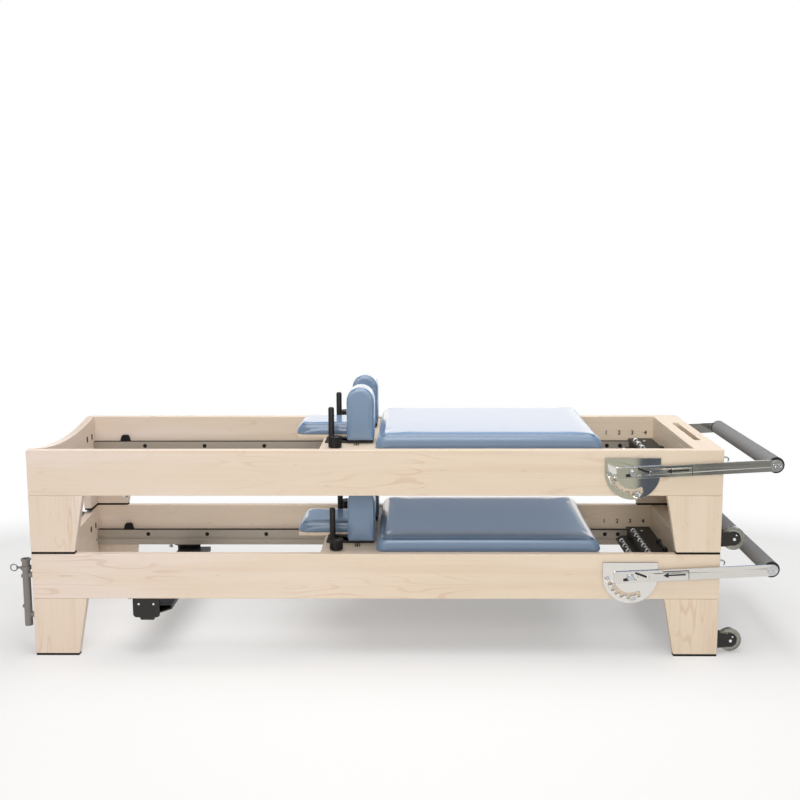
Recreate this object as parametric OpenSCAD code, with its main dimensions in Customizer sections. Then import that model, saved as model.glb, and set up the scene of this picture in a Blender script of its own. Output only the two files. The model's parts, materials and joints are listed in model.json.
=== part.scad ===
// Two wooden pilates reformers, one stacked on the other.
// Each is built in its own frame: X runs from the head end to the foot end, Y = 0 is the middle,
// the near side is -Y, and Z = 0 is under the foot pads. in_unit() then sets it in the stack.

/* [Frame] */
// Length of each frame
frame_l = 2340; // [2240:10:2440]
// Width of each frame
frame_w = 680; // [660:5:720]
// Height of each frame
frame_h = 360; // [345:1:380]
// Thickness of rails, end boards and legs
board_t = 28; // [25:1:30]
// Height of the side rails
rail_h = 157; // [150:1:165]
// Rounding of the board edges
edge_r = 3; // [1.5:0.5:4]
// Depth of the scoop in the head board
scoop_d = 30; // [15:1:40]
// Width of a rope slot in the head board
rope_slot_w = 9; // [7:0.5:12]
// Height of a rope slot
rope_slot_h = 20; // [16:1:30]
// Distance of the inner rope slots from the side faces
rope_slot_in = 123; // [115:1:140]
// Distance of the outer rope slots from the side faces
rope_slot_out = 65; // [55:1:78]
// Drop of the rope slots below the rail top
rope_slot_drop = 74; // [68:1:80]

/* [Foot platform] */
// Width of the standing platform
platform_w = 95; // [85:1:110]
// Thickness of the platform top
platform_t = 22; // [18:1:26]
// Length of the hand slot
hand_slot_l = 340; // [280:5:400]
// Width of the hand slot
hand_slot_w = 22; // [18:1:28]

/* [Legs] */
// Width of a leg along the rail, at its top
leg_top_l = 185; // [170:1:200]
// Width of a leg along the rail, at its foot
leg_foot_l = 150; // [130:1:165]
// Width of a leg across the end, at its top
leg_top_w = 135; // [125:1:150]
// Width of a leg across the end, at its foot
leg_foot_w = 108; // [95:1:120]
// Thickness of the foot pads
pad_t = 7; // [3:0.5:8]
// Inset of the foot pads from the leg faces
pad_inset = 1; // [0.5:0.5:4]

/* [Tracks] */
// Height of the track section
track_h = 60; // [56:1:64]
// Depth of the track section
track_d = 22; // [20:1:24]
// Wall of the track section
track_wall = 3; // [2.5:0.5:4]
// Height of the lower rib of the track
track_rib_h = 22; // [20:1:24]
// Height of the groove above the rib
track_groove_h = 11; // [8:1:13]
// Depth of that groove
track_groove_d = 3.5; // [2:0.5:4.5]
// Radius of the holes in the track
track_hole_r = 5; // [3.5:0.5:5.5]
// Drop of the hole line below the track top
track_hole_drop = 17; // [15:1:19]
// First fixing hole from the head face
fixing_first = 233; // [200:1:260]
// Spacing of the fixing holes
fixing_pitch = 237; // [230:1:245]
// Length of a track stop at its base
stop_l = 37; // [30:1:44]
// Length of a track stop at its top
stop_top_l = 26; // [20:1:30]
// Width of a track stop
stop_w = 20; // [16:1:20]
// Height of a track stop
stop_h = 25; // [22:1:34]
// Middle of the head stops from the head face
head_stop_x = 153; // [140:1:165]

/* [Carriage] */
// Thickness of the deck
deck_t = 18; // [15:1:20]
// Drop of the deck below the rail top
deck_drop = 6; // [4:1:8]
// Foot edge of the deck from the foot platform, with the carriage at rest
deck_back = 305; // [300:1:315]
// Length of the deck
deck_l = 958; // [940:1:965]
// Gap between deck and rails
deck_gap = 12; // [8:1:16]
// Radius of the running rollers
roller_r = 25; // [22:0.5:25]
// Width of the running rollers
roller_w = 16; // [14:1:17]
// Radius of the roller axles
axle_r = 6; // [5:0.5:7]
// Running clearance of shafts in bores
run_clear = 0.05; // [0.02:0.01:0.09]
// Clearance between pieces that pass each other
seat_gap = 0.3; // [0.2:0.1:0.4]
// Head roller axle from the head edge of the deck
head_axle_in = 63; // [55:1:80]
// Foot roller axle from the foot edge of the deck
foot_axle_in = 70; // [68:1:85]
// Thickness of the carriage side plates
side_plate_t = 5; // [4:0.5:6]
// Height of the carriage cross bars
cross_bar_h = 24; // [20:1:26]
// Width of the carriage cross bars
cross_bar_w = 40; // [30:1:50]
// Radius of the spring rods
spring_rod_r = 5; // [4:0.5:6]

/* [Springs] */
// Number of springs
spring_n = 4; // [2:2:4]
// Spacing of the springs
spring_pitch = 132; // [120:2:140]
// Outer radius of a spring
spring_r = 12; // [9:0.5:13]
// Length of a spring's coils
spring_l = 560; // [480:10:580]
// Radius of the spring wire
wire_r = 2; // [1.5:0.25:2.5]

/* [Upholstery] */
// Length of the carriage cushion
cushion_l = 774; // [740:1:780]
// Height of the carriage cushion
cushion_h = 49; // [40:1:55]
// Corner radius of the carriage cushion
cushion_r = 45; // [30:1:60]
// Crown of the cushions
crown = 4; // [2:0.5:6]
// Draw of the cushion sides between their corners
side_draw = 3; // [1:0.5:5]
// Width of a shoulder rest along X
shoulder_w = 96; // [90:1:100]
// Thickness of a shoulder rest
shoulder_t = 100; // [85:1:105]
// Height of a shoulder rest
shoulder_h = 190; // [160:1:192]
// Gap between the two shoulder rests
neck_gap = 220; // [215:1:240]
// Gap between shoulder rests and carriage cushion
shoulder_gap = 4; // [2:0.5:6]
// Length of the headrest cushion
headrest_l = 258; // [220:1:262]
// Width of the headrest cushion
headrest_w = 200; // [180:1:204]
// Height of the headrest cushion
headrest_h = 43; // [36:1:46]
// Thickness of the headrest board
headrest_board_t = 11.4; // [10:0.2:13]

/* [Shoulder brackets] */
// Thickness of the bracket plate
bracket_t = 6; // [4:0.5:8]
// Height of the riser under a shoulder rest
riser_h = 5.7; // [4:0.1:8]
// Radius of a rope post
post_r = 10.3; // [8:0.1:12]
// Height of a rope post above the deck
post_h = 124; // [100:1:130]
// Distance of the rope posts from the middle
post_y = 174; // [168:1:178]
// Radius of a rope knob
knob_r = 23; // [18:0.5:24]
// Height of a rope knob
knob_h = 36; // [28:1:38]
// Distance of the rope knobs from the side edges of the deck
knob_in = 32; // [28:1:45]
// Radius of the headrest hinge pin
hinge_pin_r = 3; // [2.5:0.25:3.5]

/* [Spring bar] */
// Width of the upper plate of the spring bar
bar_plate_w = 93; // [84:1:96]
// Width of its lower step
bar_step_w = 50; // [44:1:60]
// Thickness of the bent plate
bar_t = 6; // [4:0.5:7]
// Drop of the lower step below the upper plate
bar_drop = 31; // [26:1:34]
// Number of hooks in the upper row; the lower row has one less
hook_n = 8; // [4:1:8]
// Spacing of the hooks
hook_pitch = 66; // [60:1:70]
// Distance between neighbouring bar positions
bar_pitch = 51.7; // [50:0.1:52]
// Number of bar positions
bar_positions = 4; // [3:1:4]

/* [Footbar] */
// Footbar pivot from the foot face
pivot_back = 304; // [300:1:310]
// Footbar pivot below the rail top
pivot_drop = 76; // [72:1:80]
// Radius of the quadrant plate
quadrant_r = 93; // [90:1:96]
// Height of the quadrant plate above its pivot
quadrant_top = 49; // [40:1:55]
// Thickness of the quadrant plate
quadrant_t = 5; // [4:0.5:6]
// Radius of the lock pin's free path
lock_r = 62; // [60:0.5:63]
// Travel of the lock pin into a notch
lock_travel = 12; // [10:0.5:13]
// Radius of the lock pin
lock_pin_r = 5; // [4:0.5:5.5]
// Angle of the lock pin below the arm's middle line
lock_angle = 18.5; // [17:0.5:20]
// Slope of the arms at rest
arm_slope = 3; // [1:0.5:4]
// Length of the arm from the pivot to the grip
arm_l = 477; // [450:1:490]
// Length of the arm behind the pivot
arm_tail = 55; // [50:1:56]
// Width of the arm
arm_w = 40; // [36:1:42]
// Thickness of the arm
arm_t = 6; // [5:0.5:8]
// Radius of the footbar tube
bar_tube_r = 14; // [12:0.5:16]
// Radius of the foam grip
grip_r = 27; // [22:0.5:28]
// Radius of the pivot bolt
pivot_r = 6; // [5:0.5:7]

/* [Transport wheels] */
// Radius of a transport wheel
wheel_r = 40; // [36:0.5:42]
// Width of a transport wheel
wheel_w = 24; // [20:1:26]
// Wheel axle from the foot face
wheel_out = 52; // [50:1:62]
// Wheel axle above the floor
wheel_z = 45; // [43:1:50]
// Wheel middle from the side face
wheel_in = 45; // [40:1:50]

/* [Tower sockets] */
// Bore radius of a tower socket
socket_r = 11; // [9:0.25:11.5]
// Wall of a tower socket
socket_wall = 2.4; // [2:0.1:3]
// Socket axis out from the head face
socket_out = 34; // [32:0.5:40]
// Socket axis from the side face
socket_in = 40; // [36:1:46]
// Foot of the socket above the floor
socket_z = 94; // [85:1:105]
// Length of the socket
socket_l = 238; // [210:1:245]
// Radius of the pull pin
pin_r = 3.5; // [3:0.25:4]
// Travel of the pull pin
pin_travel = 9; // [8:0.5:12]

/* [Cross member] */
// Width of the cross member
cross_w = 92; // [80:1:100]
// Depth of its end plates below the rails
cross_h = 68; // [62:1:76]
// Head edge of the cross member from the head face
cross_x = 340; // [320:1:360]

/* [Hidden] */
$fn = 48;
PIECES = [
    "side_rails", "head_board", "foot_platform", "legs", "foot_pads", "tracks", "track_stops",
    "quadrant_plates", "frame_bolts", "wheel_brackets", "near_wheel", "far_wheel", "spring_bar",
    "footbar_hubs", "footbar_frame", "footbar_grip", "carriage_frame", "carriage_board",
    "carriage_pad", "head_rollers", "foot_rollers", "springs", "headrest_board", "headrest_pad",
    "shoulder_pads", "rest_brackets", "near_rope_knob", "far_rope_knob"
];

beech = "#E3D0B8";
vinyl = "#7D93AC";
black_steel = "#2B2826";
bright_steel = "#C9CBCC";
rubber = "#1E1D1C";
aluminium = "#8E8A86";
foam = "#6A6A6A";

half_w = frame_w / 2;
inner_w = half_w - board_t;
rail_z = frame_h - rail_h;
track_top = rail_z + track_h;
track_face = inner_w - track_d;
track_end = frame_l - platform_w;
hole_z = track_top - track_hole_drop;

// The fixing bolts sit in holes with this clearance
bolt_clear = 0.2;
under_bolt_x = 320;

// Carriage: the deck rides just under the rail tops, on rollers that run on the track tops
deck_top = frame_h - deck_drop;
deck_z = deck_top - deck_t;
deck_w = 2 * (inner_w - deck_gap);
deck_end = track_end - deck_back;
deck_x = deck_end - deck_l;
roller_z = track_top + seat_gap + roller_r;
head_axle = deck_x + head_axle_in;
foot_axle = deck_end - foot_axle_in;
roller_gap = 4;
roller_y = inner_w - roller_gap - roller_w;
side_gap = 3;
side_plate_y = track_face - side_gap - side_plate_t;
side_plate_drop = 13;
side_plate_z = roller_z - side_plate_drop;
side_plate_in = 40;
side_plate_out = 32;
side_plate_x0 = head_axle - side_plate_in;
side_plate_x1 = foot_axle + side_plate_out;
guide_l = 40;
guide_h = 15;
guide_gap = 0.4;
guide_drop = 20;
guide_in = 60;
foot_stop_x = foot_axle + roller_r + seat_gap + stop_l / 2;
carriage_travel = head_axle - roller_r - head_stop_x - stop_l / 2 - 0.5;

// Springs lie under the deck, between an anchor rod and a rest rod
spring_z = roller_z;
eye_r = spring_rod_r + seat_gap + wire_r;
spring_lead = 6;
rest_rod_in = 13.4;
rest_rod_x = foot_axle - rest_rod_in;
spring_x = rest_rod_x - eye_r - spring_lead - spring_l;
anchor_x = spring_x - spring_lead - eye_r;

// Upholstery
cushion_gap = 0.3;
cushion_over = 4;
cushion_x = deck_end + cushion_over - cushion_l;
shoulder_x = cushion_x - shoulder_gap - shoulder_w;
headrest_hinge_in = 20;
headrest_hinge_x = cushion_x - headrest_hinge_in;
headrest_hinge_z = deck_top + headrest_board_t / 2 + cushion_gap;
headrest_end_gap = 10;
headrest_pad_x = headrest_hinge_x - headrest_end_gap - headrest_l;

// Shoulder brackets
bracket_reach = 77;
bracket_short = 5;
bracket_x = shoulder_x - bracket_reach;
bracket_l = shoulder_w + bracket_reach - bracket_short;
ear_gap = 0.5;
headrest_half_w = headrest_w / 2 - 2;
bracket_in = headrest_half_w + ear_gap;
post_edge = 6;
bracket_out = post_y + post_r + post_edge;
post_in = 22;
post_x = bracket_x + post_in;
knob_ahead = 20;
knob_x = post_x + knob_ahead;
knob_y = deck_w / 2 - knob_in;
knob_stud_r = 5;
stud_clear = 0.5;
washer_h = 2.5;
ear_t = 5;
ear_r = 8;

// Spring bar: it slides on the track tops, with its plungers in line with the track holes
glide_h = 3;
bar_gap = 4;
hook_in = 20;
step_hook_in = 20;
plunger_in = 25;
bar_x1 = track_end - bar_gap;
bar_x0 = bar_x1 - bar_plate_w;
bar_z = track_top + glide_h;
bar_step_z = bar_z + bar_t - bar_drop - bar_t;
bar_half_w = inner_w - 1;
bar_step_half_w = track_face - 2;
plunger_x = bar_x1 - plunger_in;
plunger_r = track_hole_r - 0.2;
upper_row_x = bar_x0 + hook_in;
lower_row_x = bar_x0 - bar_step_w + step_hook_in;

// Footbar
pivot_x = frame_l - pivot_back;
pivot_z = frame_h - pivot_drop;
lock_notches = [0, 19, 32.5, 48.5, 68, 96];
hub_r = 12;
hub_l = 24;
hub_w = 20;
arm_gap = 0.5;
arm_in = half_w + quadrant_t + arm_gap;
arm_out = arm_in + arm_t;
lock_slot_r = lock_pin_r + 0.6;
lug_r = lock_pin_r + 3;
lug_t = 3;
notch_end = [lock_r * cos(lock_angle) + lock_travel, lock_r * sin(lock_angle)];
// The lower plate screw lies between the last two notches
low_screw_r = quadrant_r - 14;
low_screw_a = 180 + arm_slope + atan2(notch_end[1], notch_end[0]) + (lock_notches[4] + lock_notches[5]) / 2;
pivot_sunk = 20;
side_screw_x = quadrant_r - 16;
side_screw_drop = 6;
plate_screws = [
    [-side_screw_x, -side_screw_drop], [side_screw_x, -side_screw_drop],
    [low_screw_r * cos(low_screw_a), low_screw_r * sin(low_screw_a)]
];
plate_screw_r = 7;
screw_r = 3;
screw_l = 16;
screw_head_h = 2.8;
screw_sunk = 0.2;
grip_cap_t = 5;
pivot_cap_t = 2;

// Transport wheels
wheel_x = frame_l + wheel_out;
wheel_y = half_w - wheel_in;
fork_t = 4;
fork_gap = 1;
fork_back_t = 5;
fork_h = 52;
fork_half_w = wheel_w / 2 + fork_gap + fork_t;

// Tower sockets
socket_y = half_w - socket_in;
socket_or = socket_r + socket_wall;
socket_top = socket_z + socket_l;
socket_floor = 5;
mouth_h = 5;
mouth_r = socket_or + 3.5;
collar_r = socket_or + 4;
collar_h = 13;
collar_z = socket_top - 39;
pin_z = collar_z + collar_h / 2;
boss_l = 2;
pin_head_h = 3;
pin_tip = socket_or - 0.5;
ring_r = 11.5;
ring_wire = 2;
pin_back = collar_r + boss_l + pin_head_h + pin_travel + 0.5;
ring_out = pin_back + ring_r - 1;
back_plate_t = 6;
back_plate_w = 40;
back_plate_z = 87;
back_plate_h = 233;
stand_off_r = 10;
stand_off_z = [133, 275];
clamp_z = [162, 270];

// Stack: the origin is under the middle of the stack's box
left_end = -socket_out - ring_out - ring_r - ring_wire;
right_end = pivot_x + arm_l * cos(arm_slope) + grip_r;
shift_x = -(left_end + right_end) / 2;

// Sets a piece of one reformer in the stack: level 0 is the lower one
module in_unit(level) {
    translate([shift_x, 0, level * frame_h]) children();
}

module both_sides() {
    children();
    mirror([0, 1, 0]) children();
}

module rounded_rect(w, h, r) {
    translate([r, 0]) square([w - 2 * r, h]);
    translate([0, r]) square([w, h - 2 * r]);
    for (x = [r, w - r], y = [r, h - r]) translate([x, y]) circle(r);
}

// Slot along X, centred, with round ends
module obround(l, w) {
    square([l - w, w], center = true);
    for (s = [-1, 1]) translate([s * (l - w) / 2, 0]) circle(w / 2);
}

// Board along X with rounded long edges
module board_x(l, w, h, r) {
    rotate([90, 0, 90]) linear_extrude(l) rounded_rect(w, h, r);
}

// Flat shape drawn in X and Z, from y back by t
module plate_xz(t) {
    rotate([90, 0, 0]) linear_extrude(t) children();
}

// Closed skin over a list of rings with equal numbers of points
module loft(rings) {
    n = len(rings[0]);
    m = len(rings);
    function middle(ring) = [for (a = [0:2]) (min([for (p = ring) p[a]]) + max([for (p = ring) p[a]])) / 2];
    points = concat([for (ring = rings) each ring], [middle(rings[0]), middle(rings[m - 1])]);
    walls = [
        for (k = [0:m - 2], i = [0:n - 1])
            let (a = k * n + i, b = k * n + (i + 1) % n)
                each [[a, a + n, b + n], [a, b + n, b]]
    ];
    first_cap = [for (i = [0:n - 1]) [n * m, i, (i + 1) % n]];
    last_cap = [for (i = [0:n - 1]) [n * m + 1, (m - 1) * n + (i + 1) % n, (m - 1) * n + i]];
    polyhedron(points, concat(walls, first_cap, last_cap));
}

function arc(x, y, r, from, to, n) =
    [for (i = [0:n]) let (a = from + (to - from) * i / n) [x + r * cos(a), y + r * sin(a)]];

// Straight side from a to b, without its ends, pulled in towards the middle
function drawn_side(a, b, pull, n) =
    [for (i = [1:n]) let (t = i / (n + 1), d = pull * sin(180 * t))
        [a[0] + (b[0] - a[0]) * t - d * sign(a[0] + b[0]) * (a[0] == b[0] ? 1 : 0),
         a[1] + (b[1] - a[1]) * t - d * sign(a[1] + b[1]) * (a[1] == b[1] ? 1 : 0)]];

// Rounded rectangle centred on the origin, with drawn-in sides
function cushion_ring(l, w, r, pull) =
    let (x = l / 2, y = w / 2, cx = x - r, cy = y - r) concat(
        drawn_side([x, -cy], [x, cy], pull, 4), arc(cx, cy, r, 0, 90, 6),
        drawn_side([cx, y], [-cx, y], pull, 4), arc(-cx, cy, r, 90, 180, 6),
        drawn_side([-x, cy], [-x, -cy], pull, 4), arc(-cx, -cy, r, 180, 270, 6),
        drawn_side([-cx, -y], [cx, -y], pull, 4), arc(cx, -cy, r, 270, 360, 6));

// Ring drawn in by a constant inset, at height z
function inset_ring(ring, l, w, inset, z) =
    [for (p = ring) [p[0] * (1 - 2 * inset / l), p[1] * (1 - 2 * inset / w), z]];

// Flat-bottomed cushion with a rolled top edge and a crown
module cushion(l, w, h, r, roll) {
    ring = cushion_ring(l, w, r, side_draw);
    loft(concat(
        [inset_ring(ring, l, w, 4, 0)],
        [for (a = [0:30:90]) inset_ring(ring, l, w, 3 * (1 - sin(a)), 0.28 * h * sin(a) + 0.5)],
        [for (a = [15:25:90]) inset_ring(ring, l, w, roll * (1 - cos(a)), h - crown - roll + roll * sin(a))],
        [for (s = [0.85, 0.6, 0.3])
            [for (p = inset_ring(ring, l, w, roll, 0)) [p[0] * s, p[1] * s, h - crown * s * s]]]));
}

// Arch standing on the X axis
function arch_ring(w, h, r) =
    concat(
        [for (t = [0.25, 0.5, 0.75]) [(t - 0.5) * (w - 2 * r), 0]],
        arc(w / 2 - r, r, r, 270, 360, 3),
        [[w / 2, h * 0.3]],
        arc(0, h - w / 2, w / 2, 0, 180, 16),
        [[-w / 2, h * 0.3]],
        arc(-w / 2 + r, r, r, 180, 270, 3));

function arch_inset(ring, w, h, inset, z) =
    [for (p = ring) [p[0] * (1 - 2 * inset / w), p[1] * (1 - inset / h), z]];

// Arched shoulder rest with crowned faces, thickness along Z
module arch_cushion(w, h, t) {
    ring = arch_ring(w, h, 8);
    face = 3;
    loft(concat(
        [for (s = [0.3, 0.6, 0.85])
            [for (p = arch_inset(ring, w, h, 7, 0)) [p[0] * s, p[1] * s, face * s * s]]],
        [for (a = [0:30:90]) arch_inset(ring, w, h, 7 * (1 - sin(a)), face + 7 * (1 - cos(a)))],
        [for (a = [90:-30:0]) arch_inset(ring, w, h, 7 * (1 - sin(a)), t - face - 7 * (1 - cos(a)))],
        [for (s = [0.85, 0.6, 0.3])
            [for (p = arch_inset(ring, w, h, 7, 0)) [p[0] * s, p[1] * s, t - face * s * s]]]));
}

// Outer footprint of the frame, which rounds its upright corners
module footprint(h) {
    translate([0, -half_w, 0]) linear_extrude(h) rounded_rect(frame_l, frame_w, edge_r);
}

module side_rails() {
    color(beech) both_sides() difference() {
        intersection() {
            translate([0, -half_w, rail_z]) board_x(frame_l, board_t, rail_h, edge_r);
            footprint(frame_h);
        }
        translate([pivot_x, -half_w + pivot_sunk, pivot_z]) rotate([90, 0, 0])
            cylinder(h = pivot_sunk + 1, r = pivot_r + bolt_clear);
        for (p = plate_screws) translate([pivot_x + p[0], -half_w + screw_l, pivot_z + p[1]])
            rotate([90, 0, 0]) cylinder(h = screw_l + 1, r = screw_r + bolt_clear);
    }
}

module head_board() {
    chord = inner_w;
    scoop_r = (chord * chord + scoop_d * scoop_d) / (2 * scoop_d);
    color(beech) difference() {
        translate([0, -inner_w, rail_z]) cube([board_t, 2 * inner_w, rail_h]);
        translate([-1, 0, frame_h - scoop_d + scoop_r]) rotate([0, 90, 0])
            cylinder(h = board_t + 2, r = scoop_r, $fn = 360);
        both_sides() for (inset = [rope_slot_in, rope_slot_out])
            translate([-1, inset - half_w, frame_h - rope_slot_drop]) rotate([90, 90, 90])
                linear_extrude(board_t + 2) obround(rope_slot_h, rope_slot_w);
    }
}

module foot_platform() {
    color(beech) {
        translate([frame_l - board_t, -inner_w, rail_z])
            cube([board_t, 2 * inner_w, rail_h - platform_t]);
        translate([track_end, -inner_w, rail_z]) cube([platform_t, 2 * inner_w, rail_h - platform_t]);
        difference() {
            translate([track_end, -inner_w, frame_h - platform_t])
                cube([platform_w, 2 * inner_w, platform_t]);
            translate([frame_l - platform_w / 2 + 3, 0, frame_h - platform_t - 1]) rotate(90)
                linear_extrude(platform_t + 2) obround(hand_slot_l, hand_slot_w);
        }
    }
}

// Leg at the head end, near side: a board along the rail and a board across the end
module leg() {
    intersection() {
        union() {
            translate([0, -inner_w, 0]) plate_xz(board_t)
                polygon([[0, pad_t], [leg_foot_l, pad_t], [leg_top_l, rail_z], [0, rail_z]]);
            translate([0, -half_w, 0]) rotate([90, 0, 90]) linear_extrude(board_t)
                polygon([[0, pad_t], [leg_foot_w, pad_t], [leg_top_w, rail_z], [0, rail_z]]);
        }
        footprint(frame_h);
    }
}

module four_corners() {
    both_sides() {
        children();
        translate([frame_l, 0, 0]) mirror([1, 0, 0]) children();
    }
}

module legs() {
    color(beech) four_corners() leg();
}

module foot_pads() {
    reach_l = leg_foot_l - 2 * pad_inset;
    reach_w = leg_foot_w - 2 * pad_inset;
    width = board_t - 2 * pad_inset;
    color(rubber) four_corners() translate([pad_inset, -half_w + pad_inset, 0]) linear_extrude(pad_t) {
        rounded_rect(reach_l, width, edge_r);
        rounded_rect(width, reach_w, edge_r);
    }
}

// Track section: depth from the rail in X, height in Y
module track_section() {
    groove_y = track_rib_h + track_groove_h;
    difference() {
        polygon([
            [0, 0], [track_d, 0], [track_d, track_rib_h], [track_d - track_groove_d, track_rib_h],
            [track_d - track_groove_d, groove_y], [track_d, groove_y], [track_d, track_h], [0, track_h]
        ]);
        translate([track_wall, track_wall])
            square([track_d - track_groove_d - 2 * track_wall, groove_y - 2 * track_wall]);
        translate([track_wall, groove_y + track_wall])
            square([track_d - 2 * track_wall, track_h - groove_y - 2 * track_wall]);
    }
}

module tracks() {
    hole_l = track_wall + 2;
    fixing_end = foot_stop_x;
    color(aluminium) both_sides() difference() {
        translate([board_t, -inner_w, rail_z]) rotate([90, 0, 90])
            linear_extrude(track_end - board_t) track_section();
        for (x = [fixing_first:fixing_pitch:fixing_end])
            translate([x, -track_face + 1, hole_z]) rotate([90, 0, 0]) cylinder(h = hole_l, r = track_hole_r);
        for (i = [0:bar_positions - 1])
            translate([plunger_x - i * bar_pitch, -track_face + 1, hole_z]) rotate([90, 0, 0])
                cylinder(h = hole_l, r = track_hole_r);
        for (x = [under_bolt_x, frame_l - under_bolt_x])
            translate([x, -inner_w + track_d / 2, rail_z - 1])
                cylinder(h = track_wall + 2, r = 3 + bolt_clear);
    }
}

module track_stop() {
    plate_xz(stop_w) polygon([
        [-stop_l / 2, 0], [stop_l / 2, 0], [stop_l / 2, 4], [stop_top_l / 2, stop_h - 3],
        [stop_top_l / 2 - 3, stop_h], [3 - stop_top_l / 2, stop_h], [-stop_top_l / 2, stop_h - 3],
        [-stop_l / 2, 4]
    ]);
}

module track_stops() {
    color(rubber) both_sides() for (x = [head_stop_x, foot_stop_x])
        translate([x, -inner_w + 1 + stop_w, track_top]) track_stop();
}

// Path of the lock pin in the arm's frame: the arm lies along X and the pivot is the origin
function pin_at(shift) = [-lock_r * cos(lock_angle) - shift, -lock_r * sin(lock_angle)];

module quadrant_shape() {
    intersection() {
        union() {
            circle(quadrant_r, $fn = 120);
            translate([-quadrant_r, 0]) square([2 * quadrant_r, quadrant_top]);
        }
        translate([-quadrant_r, -quadrant_r]) square([2 * quadrant_r, quadrant_r + quadrant_top]);
    }
}

// Arc of the lock pin, as a ring cut to its wedge, with a notch at each lock angle
module quadrant_slots() {
    start = 180 + arm_slope + lock_angle;
    sweep = lock_notches[len(lock_notches) - 1];
    far = 2 * quadrant_r;
    intersection() {
        difference() {
            circle(lock_r + lock_slot_r, $fn = 120);
            circle(lock_r - lock_slot_r, $fn = 120);
        }
        polygon([[0, 0], [far * cos(start), far * sin(start)],
            [far * cos(start + sweep / 2), far * sin(start + sweep / 2)],
            [far * cos(start + sweep), far * sin(start + sweep)]]);
    }
    for (a = lock_notches) rotate(arm_slope + a) translate(pin_at(lock_travel / 2))
        obround(lock_travel + 2 * lock_slot_r, 2 * lock_slot_r);
}

module quadrant_plates() {
    color(bright_steel) both_sides() translate([pivot_x, -half_w, pivot_z]) difference() {
        plate_xz(quadrant_t) difference() {
            quadrant_shape();
            quadrant_slots();
            circle(hub_r + run_clear);
        }
        for (p = plate_screws) translate([p[0], 1, p[1]]) rotate([90, 0, 0]) {
            cylinder(h = quadrant_t + 2, r = screw_r + bolt_clear);
            translate([0, 0, quadrant_t + 1 - screw_sunk - screw_head_h])
                cylinder(h = quadrant_t, r = plate_screw_r + bolt_clear);
        }
    }
}

// Sunk-head screw of the quadrant plate, with its head at y = 0 and its shank along +Y
module plate_screw() {
    socket_d = 1.8;
    rotate([-90, 0, 0]) difference() {
        union() {
            cylinder(h = screw_head_h, r = plate_screw_r);
            cylinder(h = quadrant_t + screw_l - 1, r = screw_r);
        }
        translate([0, 0, -1]) cylinder(h = socket_d + 1, r = 3.2, $fn = 6);
    }
}

// Hook on the foot face: a flange, a stem and a bend that turns down from inside the stem
module end_hook() {
    bend_r = 9;
    rod_r = 2.5;
    stem = 18;
    rotate([0, 90, 0]) cylinder(h = 2, r = 6);
    rotate([0, 90, 0]) cylinder(h = stem, r = rod_r + 0.5);
    translate([stem - 1, 0, -bend_r]) rotate([90, 0, 0]) rotate(-60) rotate_extrude(angle = 150)
        translate([bend_r, 0]) circle(rod_r);
}

module frame_bolts() {
    hook_y = half_w - 40;
    hook_z = frame_h - 33;
    bolt_hang = 14;
    color(bright_steel) both_sides() {
        // Pivot bolt of the footbar, with its washer and head
        translate([pivot_x, 0, pivot_z]) rotate([90, 0, 0]) {
            translate([0, 0, half_w - pivot_sunk])
                cylinder(h = arm_out + 0.5 - half_w + pivot_sunk, r = pivot_r);
            translate([0, 0, arm_out + 0.5]) cylinder(h = pivot_cap_t, r = 12);
            translate([0, 0, arm_out + 0.5 + pivot_cap_t]) cylinder(h = 6, r = 8);
        }
        for (p = plate_screws)
            translate([pivot_x + p[0], -half_w - quadrant_t + screw_sunk, pivot_z + p[1]]) plate_screw();
        translate([frame_l, -hook_y, hook_z]) end_hook();
        for (x = [under_bolt_x, frame_l - under_bolt_x])
            translate([x, -inner_w + track_d / 2, rail_z]) {
                translate([0, 0, -bolt_hang]) cylinder(h = 7, r = 8, $fn = 6);
                translate([0, 0, -bolt_hang]) cylinder(h = bolt_hang + 12, r = 3);
                translate([0, 0, 7 - bolt_hang]) cylinder(h = bolt_hang - 7, r = 5);
            }
        // Connector caps that hold the head board
        translate([board_t, -inner_w + 38, rail_z + 24]) rotate([0, 90, 0]) cylinder(h = 2, r = 6);
    }
}

// Fork bracket of the near wheel, with its axle
module wheel_bracket() {
    nose_r = 21;
    flat = 14;
    half_h = fork_h / 2;
    translate([frame_l, -wheel_y - fork_half_w, wheel_z - half_h])
        cube([fork_back_t, 2 * fork_half_w, fork_h]);
    for (y = [-fork_half_w, fork_half_w - fork_t]) translate([0, -wheel_y + y + fork_t, 0]) plate_xz(fork_t) {
        translate([wheel_x, wheel_z]) {
            polygon([
                [1 - wheel_out, -half_h], [flat - wheel_out, -half_h], [0, -nose_r], [0, nose_r],
                [flat - wheel_out, half_h], [1 - wheel_out, half_h]
            ]);
            circle(nose_r);
        }
    }
    translate([wheel_x, -wheel_y + fork_half_w + 2, wheel_z]) rotate([90, 0, 0])
        cylinder(h = 2 * fork_half_w + 4, r = axle_r);
    for (s = [-1, 1]) translate([wheel_x + 7, -wheel_y + s * (fork_half_w + 0.5), wheel_z + 14])
        rotate([90, 0, 0]) cylinder(h = 3, r = 2.7, center = true);
}

module wheel_brackets() {
    color(black_steel) both_sides() wheel_bracket();
}

module near_wheel() {
    bore = axle_r + run_clear;
    tread = 8;
    color(foam) translate([wheel_x, -wheel_y, wheel_z]) rotate([90, 0, 0]) rotate_extrude($fn = 96) {
        translate([bore, -wheel_w / 2]) square([wheel_r - tread - bore, wheel_w]);
        translate([wheel_r - tread - 1, -wheel_w / 2 + 1]) square([1 + tread / 2, wheel_w - 2]);
        translate([wheel_r - tread / 2 - 1, -wheel_w / 2 + 4]) square([tread / 2 + 1, wheel_w - 8]);
        for (s = [-1, 1]) translate([wheel_r - 4, s * (wheel_w / 2 - 5)]) circle(4);
    }
}

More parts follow.
